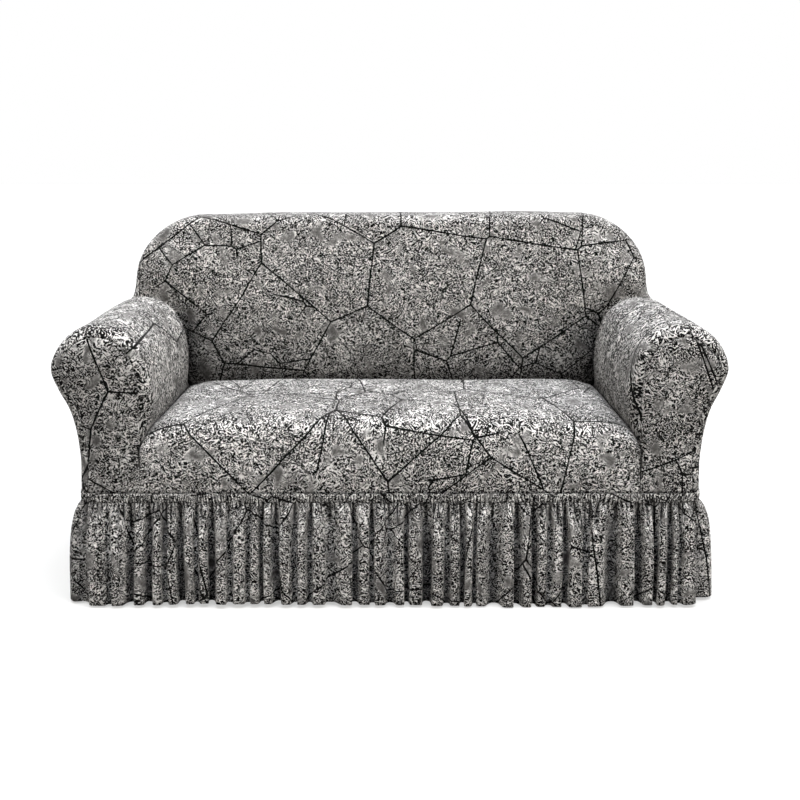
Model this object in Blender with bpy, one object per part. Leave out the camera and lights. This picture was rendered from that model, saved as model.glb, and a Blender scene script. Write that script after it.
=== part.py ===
"""A fitted sofa cover with a gathered skirt, as it sits when worn. The cover is hollow and open below."""

import bmesh
import bpy
import numpy as np
from mathutils import Vector
from mathutils.geometry import delaunay_2d_cdt

# Sizes in metres. X is to the right, T is depth behind the arm fronts, Z is up.
CLOTH = 0.002
SEAM_GAP = 0.0003
# The height of the seam between the body and the heading.
BASE_Z = 0.293
BAND_HEIGHT = 0.025
BAND_THICK = 0.003
BAND_PROUD = 0.0012

BACK_TOP_Z = 0.952
BACK_HALF_TOP = 0.772
BACK_HALF_BASE = 0.794
BACK_CORNER_R = 0.20
BACK_TOP_SAG_LEFT = 0.005
BACK_FACE_T = 0.672
BACK_RECLINE = 0.075
BACK_FRONT_R = 0.036
BACK_REAR_R = 0.030
BACK_REAR_T = 0.885
BACK_REAR_LEAN = 0.050
# How much further back the face's edge comes where the arm's side runs into the back's.
BACK_FADE_RUN = 0.02
# How far the cloth bows out in the middle of the back's face, over its front edge, and at the rear.
BACK_BOW = 0.030
BACK_SWELL = 0.004
REAR_SWELL = 0.006

ARM_FRONT_R = 0.050
# The arm's front swells between its seam and this far inside it.
ARM_DOME = 0.013
ARM_DOME_RUN = 0.06
ARM_FRONT_T = 0.004
# How far the arm's outer side sweeps forward at the back, and its inner side is tucked in there.
ARM_SWEEP = 0.060
ARM_TUCK = 0.016
SEAT_END_START = 0.84
SEAT_CROWN = 0.020
SEAT_SAG = 0.004

# The line round the waist that the heading and the skirt follow, seen from above.
WAIST_HALF = 0.796
WAIST_FRONT_T = -0.010
WAIST_REAR_T = 0.886
WAIST_FRONT_R = 0.055
WAIST_REAR_R = 0.032

SKIRT_DROP = 0.268
SKIRT_CLOTH = 0.0018
# The skirt springs out from the heading by this much over this run, and then slopes out.
SKIRT_SPRING = 0.025
SKIRT_SPRING_RUN = 0.090
SKIRT_SLOPE = 0.011
# The folds' half depth at the heading and further down, and the run over which it grows.
SKIRT_WAVE_TOP = 0.0012
SKIRT_WAVE = 0.0160
SKIRT_WAVE_RUN = 0.040
FOLD_PITCH = 0.046
SHALLOW_SHARE = 0.38

# Seat rows from the heading, over the front edge, to the crevice at the back.
# mid_t, mid_z: the row at the middle of the seat. end_x, end_t, end_z: the row where it meets the arm.
SEAT_ROWS = np.array((
    (-0.013, 0.293, 0.634, 0.001, 0.293),
    (-0.012, 0.325, 0.635, 0.002, 0.325),
    (-0.008, 0.360, 0.636, 0.002, 0.360),
    (-0.002, 0.392, 0.637, 0.003, 0.385),
    (0.006, 0.420, 0.637, 0.005, 0.402),
    (0.020, 0.443, 0.634, 0.020, 0.415),
    (0.048, 0.457, 0.630, 0.050, 0.424),
    (0.098, 0.465, 0.627, 0.090, 0.430),
    (0.175, 0.468, 0.623, 0.155, 0.434),
    (0.270, 0.469, 0.619, 0.245, 0.436),
    (0.370, 0.470, 0.616, 0.345, 0.438),
    (0.470, 0.471, 0.613, 0.450, 0.440),
    (0.560, 0.471, 0.611, 0.545, 0.441),
    (0.620, 0.468, 0.610, 0.612, 0.440),
    (0.655, 0.460, 0.610, 0.652, 0.437),
    (0.680, 0.436, 0.610, 0.680, 0.430),
))
NOTCH_ROW = 4
LAST_ROW = len(SEAT_ROWS) - 1

# Arm outline from the seat crevice, over the roll, down the outer side to the heading.
# x, z: the outline. q: the matching place on the back's outline (0-1 top, 1-2 corner, 2-3 side).
# fade: 0 where the back stands square to the arm, 1 where the arm's side runs smoothly into the back's.
ARM_OUTLINE = np.array((
    (0.620, 0.430, 0.60, 0.0),
    (0.611, 0.470, 0.70, 0.0),
    (0.605, 0.530, 0.80, 0.0),
    (0.611, 0.600, 0.92, 0.0),
    (0.632, 0.660, 1.15, 0.0),
    (0.674, 0.703, 1.50, 0.0),
    (0.730, 0.7195, 1.80, 0.05),
    (0.787, 0.708, 2.03, 0.40),
    (0.834, 0.668, 2.16, 0.75),
    (0.859, 0.610, 2.31, 1.0),
    (0.843, 0.555, 2.45, 1.0),
    (0.818, 0.503, 2.566, 1.0),
    (0.803, 0.445, 2.686, 1.0),
    (0.796, 0.385, 2.810, 1.0),
    (0.794, 0.335, 2.913, 1.0),
    (0.797, 0.293, 3.000, 1.0),
))
LAST_COL = len(ARM_OUTLINE) - 1

# The main folds across the front of the skirt: the place of each ridge, in mm from the middle.
FRONT_RIDGES = (
    -742, -697, -640, -598, -556, -510, -482, -432, -388, -342, -310, -265, -222, -190, -115, -67, -28,
    23, 56, 121, 164, 203, 233, 295, 346, 385, 426, 464, 531, 605, 659, 695, 728, 752,
)

# The hem's level: s round the waist in metres from the middle of the front, and its height.
HEM_LEVEL = np.array((
    (-0.75, 0.004),
    (-0.45, 0.010),
    (-0.12, 0.007),
    (0.12, 0.005),
    (0.35, 0.000),
    (0.52, 0.003),
    (0.75, 0.007),
    (1.30, 0.004),
    (1.70, 0.006),
    (2.40, 0.002),
    (3.10, 0.006),
    (3.60, 0.003),
))

# How finely each panel is cut up: the seat across, the arm round, the back from crevice to rear edge,
# the nets of the arm's front and the outer back, the points along their lower edges, the heading along
# the waist, and the skirt from the heading down.
SEAT_U = (0.0, 0.22, 0.44, 0.62, 0.76, 0.86, 0.92, 0.965, 0.99, 1.0)
ARM_COLS = (0, 1, 2, 3, 3.5, 4, 4.5, 5, 5.5, 6, 6.5, 7, 7.5, 8, 8.5, 9, 9.5, 10, 11, 12, 13, 14, 15)
BACK_ROWS = (0.0, 0.10, 0.28, 0.50, 0.70, 0.80, 0.87, 0.94, 1.0, 1.5, 2.0, 2.5, 3.0)
ARM_FRONT_NET = 0.034
OUTER_BACK_NET = 0.105
ARM_FRONT_FEET = 5
OUTER_BACK_FEET = 18
HEADING_STEP = 0.030
SKIRT_ROWS = (0.5 * SEAM_GAP, 0.022, 0.070, 0.160, SKIRT_DROP)

# The colour and roughness of each kind of piece.
BODY_FINISH = ((0.30, 0.29, 0.28), 0.90)
HEADING_FINISH = ((0.26, 0.25, 0.245), 0.92)
SKIRT_FINISH = ((0.28, 0.27, 0.265), 0.90)


def smooth(a, b, x):
    s = np.clip((x - a) / (b - a), 0.0, 1.0)
    return s * s * (3.0 - 2.0 * s)


def spline(table, v):
    """Catmull-Rom rows of the table at each row number v."""
    v = np.asarray(v, float)
    i = np.clip(np.floor(v).astype(int), 0, len(table) - 2)
    f = (v - i)[..., None]
    last = len(table) - 1
    p0 = table[np.clip(i - 1, 0, last)]
    p1 = table[i]
    p2 = table[i + 1]
    p3 = table[np.clip(i + 2, 0, last)]
    a = 2.0 * p1 + (p2 - p0) * f
    b = (2.0 * p0 - 5.0 * p1 + 4.0 * p2 - p3) * f * f
    c = (3.0 * p1 - p0 - 3.0 * p2 + p3) * f * f * f
    return 0.5 * (a + b + c)


def seat_points(u, v):
    """The seat at u from -1 (left end) to 1 (right end) and row v."""
    mid_t, mid_z, end_x, end_t, end_z = np.moveaxis(spline(SEAT_ROWS, v), -1, 0)
    side = np.abs(u)
    k = np.clip((side - SEAT_END_START) / (1.0 - SEAT_END_START), 0.0, 1.0)
    b = 1.0 - np.sqrt(np.clip(1.0 - k * k, 0.0, 1.0))
    crown = SEAT_CROWN * (1.0 - side**2) * smooth(2.0, 6.5, v) * smooth(15.0, 8.0, v)
    x = u * end_x
    t = mid_t * (1.0 - b) + end_t * b + SEAT_SAG * side**2 * (1.0 - b) * smooth(7.0, 2.0, v)
    z = mid_z * (1.0 - b) + end_z * b + crown * (1.0 - b)
    return np.stack((x, t, z), -1)


def arm_outline(w, v):
    """(x, z, q, fade) of the right arm's outline at column w and row v, before its front is rounded."""
    row = spline(SEAT_ROWS, v)
    out = spline(ARM_OUTLINE, w)
    near = np.clip(1.0 - w / 2.0, 0.0, 1.0) ** 2
    first = ARM_OUTLINE[0]
    out[..., 0] += near * (row[..., 2] - first[0])
    out[..., 1] += near * (row[..., 4] - first[1])
    return out


def arm_points(w, v):
    """The right arm at column w (0 in the seat crevice, LAST_COL at the heading) and row v."""
    w, v = np.broadcast_arrays(np.asarray(w, float), np.asarray(v, float))
    here = arm_outline(w, v)
    ahead = arm_outline(np.minimum(w + 0.05, LAST_COL), v)
    behind = arm_outline(np.maximum(w - 0.05, 0.0), v)
    along = ahead[..., :2] - behind[..., :2]
    along /= np.linalg.norm(along, axis=-1, keepdims=True)
    inward = np.stack((along[..., 1], -along[..., 0] * smooth(LAST_COL, LAST_COL - 3.0, w)), -1)
    t = spline(SEAT_ROWS, v)[..., 3]
    ahead_of = np.clip(ARM_FRONT_R - t, 0.0, ARM_FRONT_R)
    inset = ARM_FRONT_R - np.sqrt(ARM_FRONT_R**2 - ahead_of**2)
    inset = inset * smooth(0.0, 1.6, w)
    fade = here[..., 3]
    tuck = ARM_TUCK * smooth(13.0, 15.0, v) * (1.0 - fade) * smooth(0.0, 1.0, w)
    xz = here[..., :2] + inward * (inset + tuck)[..., None]
    t = t - ARM_SWEEP * fade * smooth(7.0, 15.0, v)
    return np.stack((xz[..., 0], t, xz[..., 1]), -1)


def back_outline(q, side):
    """(x, z) on the back's outline for the right half at q; side is 1 or -1 for the half it is for."""
    r = BACK_CORNER_R
    straight = BACK_HALF_TOP - r
    x_top = straight * np.clip(q, 0.0, 1.0)
    turn = np.clip(q - 1.0, 0.0, 1.0) * np.pi / 2.0
    down = np.clip(q - 2.0, 0.0, 1.0)
    x = x_top + r * np.sin(turn) + (BACK_HALF_BASE - BACK_HALF_TOP) * down
    z = BACK_TOP_Z - r * (1.0 - np.cos(turn)) - (BACK_TOP_Z - r - BASE_Z) * down
    sag = BACK_TOP_SAG_LEFT * smooth(0.05, 0.50, x) * smooth(2.4, 1.6, q)
    return x, z - np.where(side < 0, sag, 0.0)


def back_face_t(z):
    return BACK_FACE_T + BACK_RECLINE * (z - 0.465)


def back_rear_t(z):
    return BACK_REAR_T + BACK_REAR_LEAN * (z - BASE_Z)


def back_points(start, q, fade, side, r):
    """The back from its crevice at start (x, t, z of the right half) to the outline at q.
    r runs 0-1 up the face and round its edge, 1-2 across the top or side, 2-3 round the rear edge."""
    x0, t0, z0 = np.moveaxis(start, -1, 0)
    x1, z1 = back_outline(q, side)
    long = np.hypot(x1 - x0, z1 - z0)
    edge = np.minimum(BACK_FRONT_R, 0.85 * long)
    r1 = np.clip(r, 0.0, 1.0)
    flat = np.clip(r1 / 0.8, 0.0, 1.0)
    turn = np.clip((r1 - 0.8) / 0.2, 0.0, 1.0) * np.pi / 2.0
    run = (long - edge) * flat + edge * np.sin(turn)
    share = run / np.maximum(long, 1e-6)
    z_now = z0 + (z1 - z0) * share
    bow = BACK_BOW * np.sin(np.pi * flat) * np.clip(long / 0.3, 0.0, 1.0)
    lift = smooth(0.0, 0.14, flat)
    t_face = t0 * (1.0 - lift) + (back_face_t(z_now) - bow) * lift + edge * (1.0 - np.cos(turn))
    a_fade = r1 * r1 * (3.0 - 2.0 * r1)
    t_end = back_face_t(z1) + BACK_FRONT_R + BACK_FADE_RUN
    t_fade = t0 + (t_end - t0) * r1
    a = share * (1.0 - fade) + a_fade * fade
    t = t_face * (1.0 - fade) + t_fade * fade
    x = x0 + (x1 - x0) * a
    z = z0 + (z1 - z0) * a
    t_front = (back_face_t(z1) + edge) * (1.0 - fade) + t_end * fade
    t_back = back_rear_t(z1)
    r2 = np.clip(r - 1.0, 0.0, 1.0)
    across = t_front + (t_back - BACK_REAR_R - t_front) * r2
    t = np.where(r > 1.0, across, t)
    turn = np.clip(r - 2.0, 0.0, 1.0) * np.pi / 2.0
    t = np.where(r > 2.0, t_back - BACK_REAR_R * (1.0 - np.sin(turn)), t)
    pull = np.where(r > 2.0, BACK_REAR_R * (1.0 - np.cos(turn)), 0.0)
    nx, nz = back_outline(np.minimum(q + 0.01, 3.0), side)
    px, pz = back_outline(np.maximum(q - 0.01, 0.0), side)
    dx, dz = nx - px, nz - pz
    size = np.maximum(np.hypot(dx, dz), 1e-9)
    x = x + dz / size * pull
    z = z - dx / size * pull
    swell = BACK_SWELL * np.sin(np.pi * np.clip((r - 0.8) / 1.4, 0.0, 1.0)) * (1.0 - fade)
    x = x - dz / size * swell
    z = z + dx / size * swell
    z = np.where(q >= 2.999, BASE_Z, z)
    return np.stack((x, t, z), -1)


class Skin:
    """The cover's outer face: points, and faces marked with the panel that they belong to."""

    def __init__(self):
        self.points = []
        self.index = {}
        self.faces = []
        self.panels = []

    def add(self, p):
        key = tuple(np.round(np.asarray(p) * 20000.0).astype(int))
        if key not in self.index:
            self.index[key] = len(self.points)
            self.points.append(np.asarray(p, float))
        return self.index[key]

    def face(self, panel, corners):
        kept = []
        for c in corners:
            if c not in kept:
                kept.append(c)
        if len(kept) >= 3:
            self.faces.append(tuple(kept))
            self.panels.append(panel)

    def grid(self, panel, grid, flip):
        """grid[i][j] of points."""
        ids = [[self.add(p) for p in row] for row in grid]
        for i in range(len(ids) - 1):
            for j in range(len(ids[0]) - 1):
                quad = (ids[i][j], ids[i][j + 1], ids[i + 1][j + 1], ids[i + 1][j])
                self.face(panel, quad[::-1] if flip else quad)
        return ids

    def cap(self, panel, ring, step, depth_at, faces_back):
        """Fills a ring of points with a fine triangle net, its depth given by depth_at(x, z)."""
        ring = [np.asarray(p) for p in ring]
        flat = [Vector((p[0], p[2])) for p in ring]
        inside = []
        xs = [p.x for p in flat]
        zs = [p.y for p in flat]
        for x in np.arange(min(xs) + step, max(xs) - 0.4 * step, step):
            for z in np.arange(min(zs) + step, max(zs) - 0.4 * step, step):
                if line_distance(flat + flat[:1], x, z) > 0.55 * step and in_ring(flat, x, z):
                    inside.append(Vector((x, z)))
        edges = [(i, (i + 1) % len(flat)) for i in range(len(flat))]
        verts, _, faces, _, _, _ = delaunay_2d_cdt(flat + inside, edges, [], 1, 1e-7)
        ids = []
        for k, p in enumerate(verts):
            near = ring[k] if k < len(ring) else None
            if near is not None and abs(near[0] - p.x) < 1e-6 and abs(near[2] - p.y) < 1e-6:
                ids.append(self.add(near))
            else:
                ids.append(self.add((p.x, depth_at(p.x, p.y), p.y)))
        for f in faces:
            self.face(panel, [ids[i] for i in (f[::-1] if faces_back else f)])


def line_distance(line, x, z):
    """The least distance from (x, z) to a line of points."""
    here = np.array((x, z))
    a = np.array(line[:-1])
    d = np.array(line[1:]) - a
    s = np.clip(((here - a) * d).sum(1) / np.maximum((d * d).sum(1), 1e-12), 0.0, 1.0)
    return float(np.linalg.norm(a + d * s[:, None] - here, axis=1).min())


def in_ring(ring, x, z):
    inside = False
    n = len(ring)
    for i in range(n):
        x1, z1 = ring[i]
        x2, z2 = ring[(i + 1) % n]
        if (z1 > z) != (z2 > z) and x < (x2 - x1) * (z - z1) / (z2 - z1) + x1:
            inside = not inside
    return inside


def between(first, last, parts):
    """The points that cut the way from first to last into that many parts."""
    return [first + (last - first) * k / parts for k in range(1, parts)]


def mirrored(grid, side):
    out = np.array(grid)
    out[..., 0] *= side
    return out


def body_skin():
    skin = Skin()
    u = np.array(sorted({s * k for k in SEAT_U for s in (-1.0, 1.0)}))
    rows = np.arange(LAST_ROW + 1, dtype=float)
    seat = seat_points(u[None, :], rows[:, None])
    skin.grid("seat", seat, False)
    w = np.array(ARM_COLS, float)
    r = np.array(BACK_ROWS)
    # The seat's end rows that the arm's first column shares.
    joined = np.arange(NOTCH_ROW, LAST_ROW + 1, dtype=float)
    starts = []
    for side, name in ((-1, "left"), (1, "right")):
        arm = arm_points(w[None, :], joined[:, None])
        arm[:, 0] = seat_points(np.ones(len(joined)), joined)
        arm = mirrored(arm, side)
        skin.grid("arm_" + name, arm, side < 0)
        front = [mirrored(seat_points(np.array(1.0), np.array(float(k))), side) for k in range(NOTCH_ROW)]
        ring = front + list(arm[0])
        feet = between(ring[-1], ring[0], ARM_FRONT_FEET)
        side_line = [Vector((p[0], p[2])) for p in ring]

        def dome(x, z, line=side_line):
            near = line_distance(line, x, z)
            bulge = 1.0 - (1.0 - min(near / ARM_DOME_RUN, 1.0)) ** 2
            return ARM_FRONT_T - ARM_DOME * bulge

        feet = [np.array((p[0], dome(p[0], p[2]), p[2])) for p in feet]
        skin.cap("arm_front_" + name, ring + feet, ARM_FRONT_NET, dome, side < 0)
        starts.append(arm[-1])
    left = starts[0][::-1]
    middle = seat[-1]
    right = starts[1]
    start = np.concatenate((left[:-1], middle, right[1:]))
    mid_q = np.abs(u) * ARM_OUTLINE[0, 2]
    outline = arm_outline(w, np.full(len(w), float(LAST_ROW)))
    q = np.concatenate((outline[::-1, 2][:-1], mid_q, outline[1:, 2]))
    fade = np.concatenate((outline[::-1, 3][:-1], np.zeros(len(u)), outline[1:, 3]))
    side = np.where(start[:, 0] < 0, -1.0, 1.0)
    half = np.array(start)
    half[:, 0] = np.abs(half[:, 0])
    back = back_points(half[None], q[None], fade[None], side[None], r[:, None])
    back[..., 0] *= side[None]
    back[0] = start
    skin.grid("back_inner", back, False)
    rim = list(back[-1])
    rim_line = [Vector((p[0], p[2])) for p in rim + rim[:1]]

    def rear(x, z):
        return back_rear_t(z) + REAR_SWELL * smooth(0.0, 0.25, line_distance(rim_line, x, z))

    feet = [np.array((p[0], rear(p[0], p[2]), p[2])) for p in between(rim[-1], rim[0], OUTER_BACK_FEET)]
    skin.cap("back_outer", rim + feet, OUTER_BACK_NET, rear, True)
    return skin


def normals_of(points, faces):
    total = np.zeros_like(points)
    for f in faces:
        n = len(f)
        for k in range(n):
            a = points[f[k - 1]] - points[f[k]]
            b = points[f[(k + 1) % n]] - points[f[k]]
            cross = np.cross(b, a)
            size = np.linalg.norm(cross)
            if size < 1e-14:
                continue
            la, lb = np.linalg.norm(a), np.linalg.norm(b)
            angle = np.arccos(np.clip(np.dot(a, b) / (la * lb), -1.0, 1.0))
            total[f[k]] += cross / size * angle
    return total / np.maximum(np.linalg.norm(total, axis=1, keepdims=True), 1e-9)


def thicken(points, faces, normals, thick, pull):
    """Points and faces of a closed solid: the outer face, the inner face, and a wall round each open edge.
    pull is how far each open edge is drawn in, which leaves the seam."""
    used = sorted({i for f in faces for i in f})
    local = {g: k for k, g in enumerate(used)}
    pts = np.array([points[i] for i in used])
    nrm = np.array([normals[i] for i in used])
    faces = [tuple(local[i] for i in f) for f in faces]
    edges = {}
    for f in faces:
        for k in range(len(f)):
            edges[(f[k], f[(k + 1) % len(f)])] = f
    rim = [(e, f) for e, f in edges.items() if (e[1], e[0]) not in edges]
    inward = {}
    for (a, b), f in rim:
        along = pts[b] - pts[a]
        middle = pts[list(f)].mean(0)
        toward = middle - pts[a]
        toward = toward - along * np.dot(toward, along) / np.dot(along, along)
        toward = toward / np.linalg.norm(toward)
        inward.setdefault(a, []).append(toward)
        inward.setdefault(b, []).append(toward)
    for k, dirs in inward.items():
        total = sum(dirs)
        scale = 2.0 / max(1.0 + float(np.dot(dirs[0], dirs[-1])), 0.5) / len(dirs)
        pts[k] = pts[k] + total * scale * pull
    inner = pts - nrm * thick
    count = len(pts)
    all_faces = [tuple(f) for f in faces]
    all_faces += [tuple(i + count for i in f[::-1]) for f in faces]
    all_faces += [(b, a, a + count, b + count) for (a, b), _ in rim]
    return np.concatenate((pts, inner)), all_faces


def make_material(name, colour, roughness):
    material = bpy.data.materials.new(name)
    material.use_nodes = True
    shader = material.node_tree.nodes["Principled BSDF"]
    shader.inputs["Base Color"].default_value = (*colour, 1.0)
    shader.inputs["Roughness"].default_value = roughness
    return material


def make_object(name, points, faces, finish):
    mesh = bpy.data.meshes.new(name)
    mesh.from_pydata([tuple(p) for p in points], [], faces)
    mesh.update()
    bm = bmesh.new()
    bm.from_mesh(mesh)
    bmesh.ops.triangulate(bm, faces=bm.faces[:])
    bm.to_mesh(mesh)
    bm.free()
    mesh.materials.append(make_material(name + "_cloth", *finish))
    obj = bpy.data.objects.new(name, mesh)
    bpy.context.scene.collection.objects.link(obj)
    return obj


class Waist:
    """A rounded rectangle in plan. s runs from the middle of the front to the right and on round."""

    def __init__(self):
        front_half = WAIST_HALF - WAIST_FRONT_R
        rear_half = WAIST_HALF - WAIST_REAR_R
        side = (WAIST_REAR_T - WAIST_REAR_R) - (WAIST_FRONT_T + WAIST_FRONT_R)
        self.runs = (
            ("line", front_half, (0.0, WAIST_FRONT_T), 0.0),
            ("turn", WAIST_FRONT_R, (front_half, WAIST_FRONT_T + WAIST_FRONT_R), 0.0),
            ("line", side, (WAIST_HALF, WAIST_FRONT_T + WAIST_FRONT_R), 0.5 * np.pi),
            ("turn", WAIST_REAR_R, (rear_half, WAIST_REAR_T - WAIST_REAR_R), 0.5 * np.pi),
            ("line", 2.0 * rear_half, (rear_half, WAIST_REAR_T), np.pi),
            ("turn", WAIST_REAR_R, (-rear_half, WAIST_REAR_T - WAIST_REAR_R), np.pi),
            ("line", side, (-WAIST_HALF, WAIST_REAR_T - WAIST_REAR_R), 1.5 * np.pi),
            ("turn", WAIST_FRONT_R, (-front_half, WAIST_FRONT_T + WAIST_FRONT_R), 1.5 * np.pi),
            ("line", front_half, (-front_half, WAIST_FRONT_T), 2.0 * np.pi),
        )
        self.lengths = [r[1] * (1.0 if r[0] == "line" else 0.5 * np.pi) for r in self.runs]
        self.starts = np.concatenate(((0.0,), np.cumsum(self.lengths)))
        self.length = float(self.starts[-1])

    def at(self, s):
        """(x, t) on the line and (nx, nt) pointing out of it."""
        s = np.mod(np.asarray(s, float), self.length)
        x, t = np.zeros_like(s), np.zeros_like(s)
        nx, nt = np.zeros_like(s), np.zeros_like(s)
        for k, (kind, size, place, heading) in enumerate(self.runs):
            here = (s >= self.starts[k]) & (s <= self.starts[k + 1])
            run = s - self.starts[k]
            if kind == "line":
                angle = np.full_like(s, heading)
                px = place[0] + run * np.cos(heading)
                pt = place[1] + run * np.sin(heading)
            else:
                angle = heading + run / size
                px = place[0] + size * np.sin(angle)
                pt = place[1] - size * np.cos(angle)
            x, t = np.where(here, px, x), np.where(here, pt, t)
            nx, nt = np.where(here, np.sin(angle), nx), np.where(here, -np.cos(angle), nt)
        return x, t, nx, nt

    def nearest(self, x, t):
        """The closest point of the line to each (x, t)."""
        s = np.linspace(0.0, self.length, 6000, endpoint=False)
        px, pt, _, _ = self.at(s)
        out = []
        for a, b in zip(np.ravel(x), np.ravel(t)):
            k = int(np.argmin((px - a) ** 2 + (pt - b) ** 2))
            out.append((px[k], pt[k]))
        return np.array(out)


def fold_rows(waist):
    """Ridge places round the skirt, and for each fold: the run to the next ridge, its valley's share of that
    run, its depth, its ridge's height, its drift at the heading, how broad its ridge is and how far it leans."""
    rng = np.random.RandomState(11)
    front = np.array(FRONT_RIDGES) / 1000.0
    lo, hi = front[-1] + 0.062, waist.length + front[0] - 0.062
    count = int(round((hi - lo) / FOLD_PITCH))
    widths = rng.uniform(0.72, 1.35, count)
    rest = lo + np.concatenate(((0.0,), np.cumsum(widths / widths.sum()))) * (hi - lo)
    ridges = np.concatenate((front, rest))
    order = np.argsort(ridges)
    ridges = ridges[order]
    gaps = np.diff(np.concatenate((ridges, (ridges[0] + waist.length,))))
    valley = rng.uniform(0.42, 0.60, len(ridges))
    deep = np.clip(np.sqrt(gaps / FOLD_PITCH), 0.62, 1.22) * rng.uniform(0.85, 1.10, len(ridges))
    high = np.clip(np.sqrt((gaps + np.roll(gaps, 1)) / (2.0 * FOLD_PITCH)), 0.7, 1.2)
    high = high * rng.uniform(0.80, 1.12, len(ridges))
    drift = rng.uniform(-0.006, 0.006, len(ridges))
    shallow = rng.uniform(0.0, 1.0, len(ridges)) < SHALLOW_SHARE
    deep = deep * np.where(shallow, rng.uniform(0.15, 0.60, len(ridges)), rng.uniform(0.95, 1.20, len(ridges)))
    high = high * rng.uniform(0.65, 1.15, len(ridges))
    broad = rng.uniform(0.8, 2.3, len(ridges))
    lean = rng.uniform(-0.17, 0.17, len(ridges))
    # One wide smooth fold goes round the front left corner.
    deep[-2] = 0.05
    return ridges, gaps, valley, deep, high, drift, broad, lean


def wave_at(folds, s, length):
    """-1 in a valley to 1 on a ridge, each scaled by that fold's own depth and height; the drift; and how far
    the fold leans aside."""
    ridges, gaps, valley, deep, high, drift, broad, lean = folds
    s = np.mod(s - ridges[0], length) + ridges[0]
    i = np.clip(np.searchsorted(ridges, s, side="right") - 1, 0, len(ridges) - 1)
    j = (i + 1) % len(ridges)
    f = (s - ridges[i]) / gaps[i]
    v = valley[i]
    turn = np.where(f < v, f / v, (1.0 - f) / (1.0 - v)) * np.pi
    h = np.cos(turn)
    h = 1.0 - 2.0 * ((1.0 - h) / 2.0) ** broad[i]
    top = high[i] * (1.0 - f) + high[j] * f
    up = (h + 1.0) / 2.0
    own = drift[i] * (1.0 - f) + drift[j] * f
    aside = np.where(f < v, lean[i], lean[j]) * up * gaps[i]
    return up * top - (1.0 - up) * deep[i], own, aside


def skirt_points(waist, folds, s, down):
    """The skirt's outer face at s round the waist and down metres below the heading."""
    s, down = np.broadcast_arrays(np.asarray(s, float), np.asarray(down, float))
    share = down / SKIRT_DROP
    drift = wave_at(folds, s, waist.length)[1]
    wave, _, aside = wave_at(folds, s - drift * (1.0 - share), waist.length)
    grown = 1.0 - np.exp(-down / SKIRT_WAVE_RUN)
    size = SKIRT_WAVE_TOP + (SKIRT_WAVE - SKIRT_WAVE_TOP) * grown
    out = SKIRT_SPRING * (1.0 - np.exp(-down / SKIRT_SPRING_RUN)) + SKIRT_SLOPE * down + wave * size
    x, t, nx, nt = waist.at(s)
    slide = aside * grown
    z = BASE_Z - BAND_HEIGHT - down
    s_level = np.mod(s + 1.2, waist.length) - 1.2
    level = np.interp(s_level, HEM_LEVEL[:, 0], HEM_LEVEL[:, 1], period=waist.length)
    z = z + share * level
    return np.stack((x + nx * out - nt * slide, t + nt * out + nx * slide, z), -1)


def settle_on_waist(points, waist):
    """Brings the body's lower edge onto the waist line, fading out up the cloth."""
    low = np.where(points[:, 2] < BASE_Z + 0.10)[0]
    near = waist.nearest(points[low, 0], points[low, 1])
    keep = 1.0 - smooth(BASE_Z, BASE_Z + 0.10, points[low, 2])
    points[low, 0] += (near[:, 0] - points[low, 0]) * keep
    points[low, 1] += (near[:, 1] - points[low, 1]) * keep
    return points


def uneven(points, normals):
    """The small unevenness of stretched cloth, in and out of its own surface."""
    x, t, z = points.T
    bump = 0.0016 * np.sin(9.0 * x + 1.3 + 3.0 * np.sin(5.0 * z)) * np.sin(11.0 * z + 4.0 * t)
    bump += 0.0012 * np.sin(17.0 * x - 6.0 * z + 0.6) * np.sin(13.0 * t + 2.0)
    keep = smooth(BASE_Z, BASE_Z + 0.06, z)
    return points + normals * (bump * keep)[:, None]


def outward(points, faces):
    """The faces, all turned to face out of the cover."""
    mesh = bpy.data.meshes.new("turning")
    mesh.from_pydata([tuple(p) for p in points], [], faces)
    bm = bmesh.new()
    bm.from_mesh(mesh)
    bmesh.ops.recalc_face_normals(bm, faces=bm.faces[:])
    bm.faces.ensure_lookup_table()
    turned = [tuple(v.index for v in f.verts) for f in bm.faces]
    up = sum(f.normal.z * f.calc_area() for f in bm.faces)
    bm.free()
    bpy.data.meshes.remove(mesh)
    return turned if up > 0 else [f[::-1] for f in turned]


def strip_solid(name, outer, inner, finish):
    """A closed solid between two matching grids of points."""
    rows, cols = outer.shape[:2]
    points = np.concatenate((outer.reshape(-1, 3), inner.reshape(-1, 3)))
    half = rows * cols
    faces = []
    for i in range(rows - 1):
        for j in range(cols - 1):
            a, b = i * cols + j, i * cols + j + 1
            c, d = a + cols, b + cols
            faces.append((a, c, d, b))
            faces.append((a + half, b + half, d + half, c + half))
    for j in range(cols - 1):
        a, b = j, j + 1
        faces.append((a, b, b + half, a + half))
        a, b = (rows - 1) * cols + j, (rows - 1) * cols + j + 1
        faces.append((b, a, a + half, b + half))
    for i in range(rows - 1):
        a, c = i * cols, (i + 1) * cols
        faces.append((c, a, a + half, c + half))
        a, c = i * cols + cols - 1, (i + 1) * cols + cols - 1
        faces.append((a, c, c + half, a + half))
    return make_object(name, points, faces, finish)


def grid_normals(grid):
    across = np.gradient(grid, axis=1)
    down = np.gradient(grid, axis=0)
    n = np.cross(down, across)
    return n / np.maximum(np.linalg.norm(n, axis=-1, keepdims=True), 1e-12)


def piece_ends(waist, folds):
    """Where the four skirt widths and the four heading strips meet: in the valley nearest each corner."""
    ridges, gaps, valley = folds[0], folds[1], folds[2]
    valleys = ridges + gaps * valley
    rear = waist.starts[3] + 0.5 * waist.lengths[3]
    rear_left = waist.starts[5] + 0.5 * waist.lengths[5]
    first = len(FRONT_RIDGES)
    wanted = (valleys[first - 1], rear, rear_left, valleys[-1])
    ends = [float(valleys[int(np.argmin(np.abs(valleys - w)))]) for w in wanted]
    return ends


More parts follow.
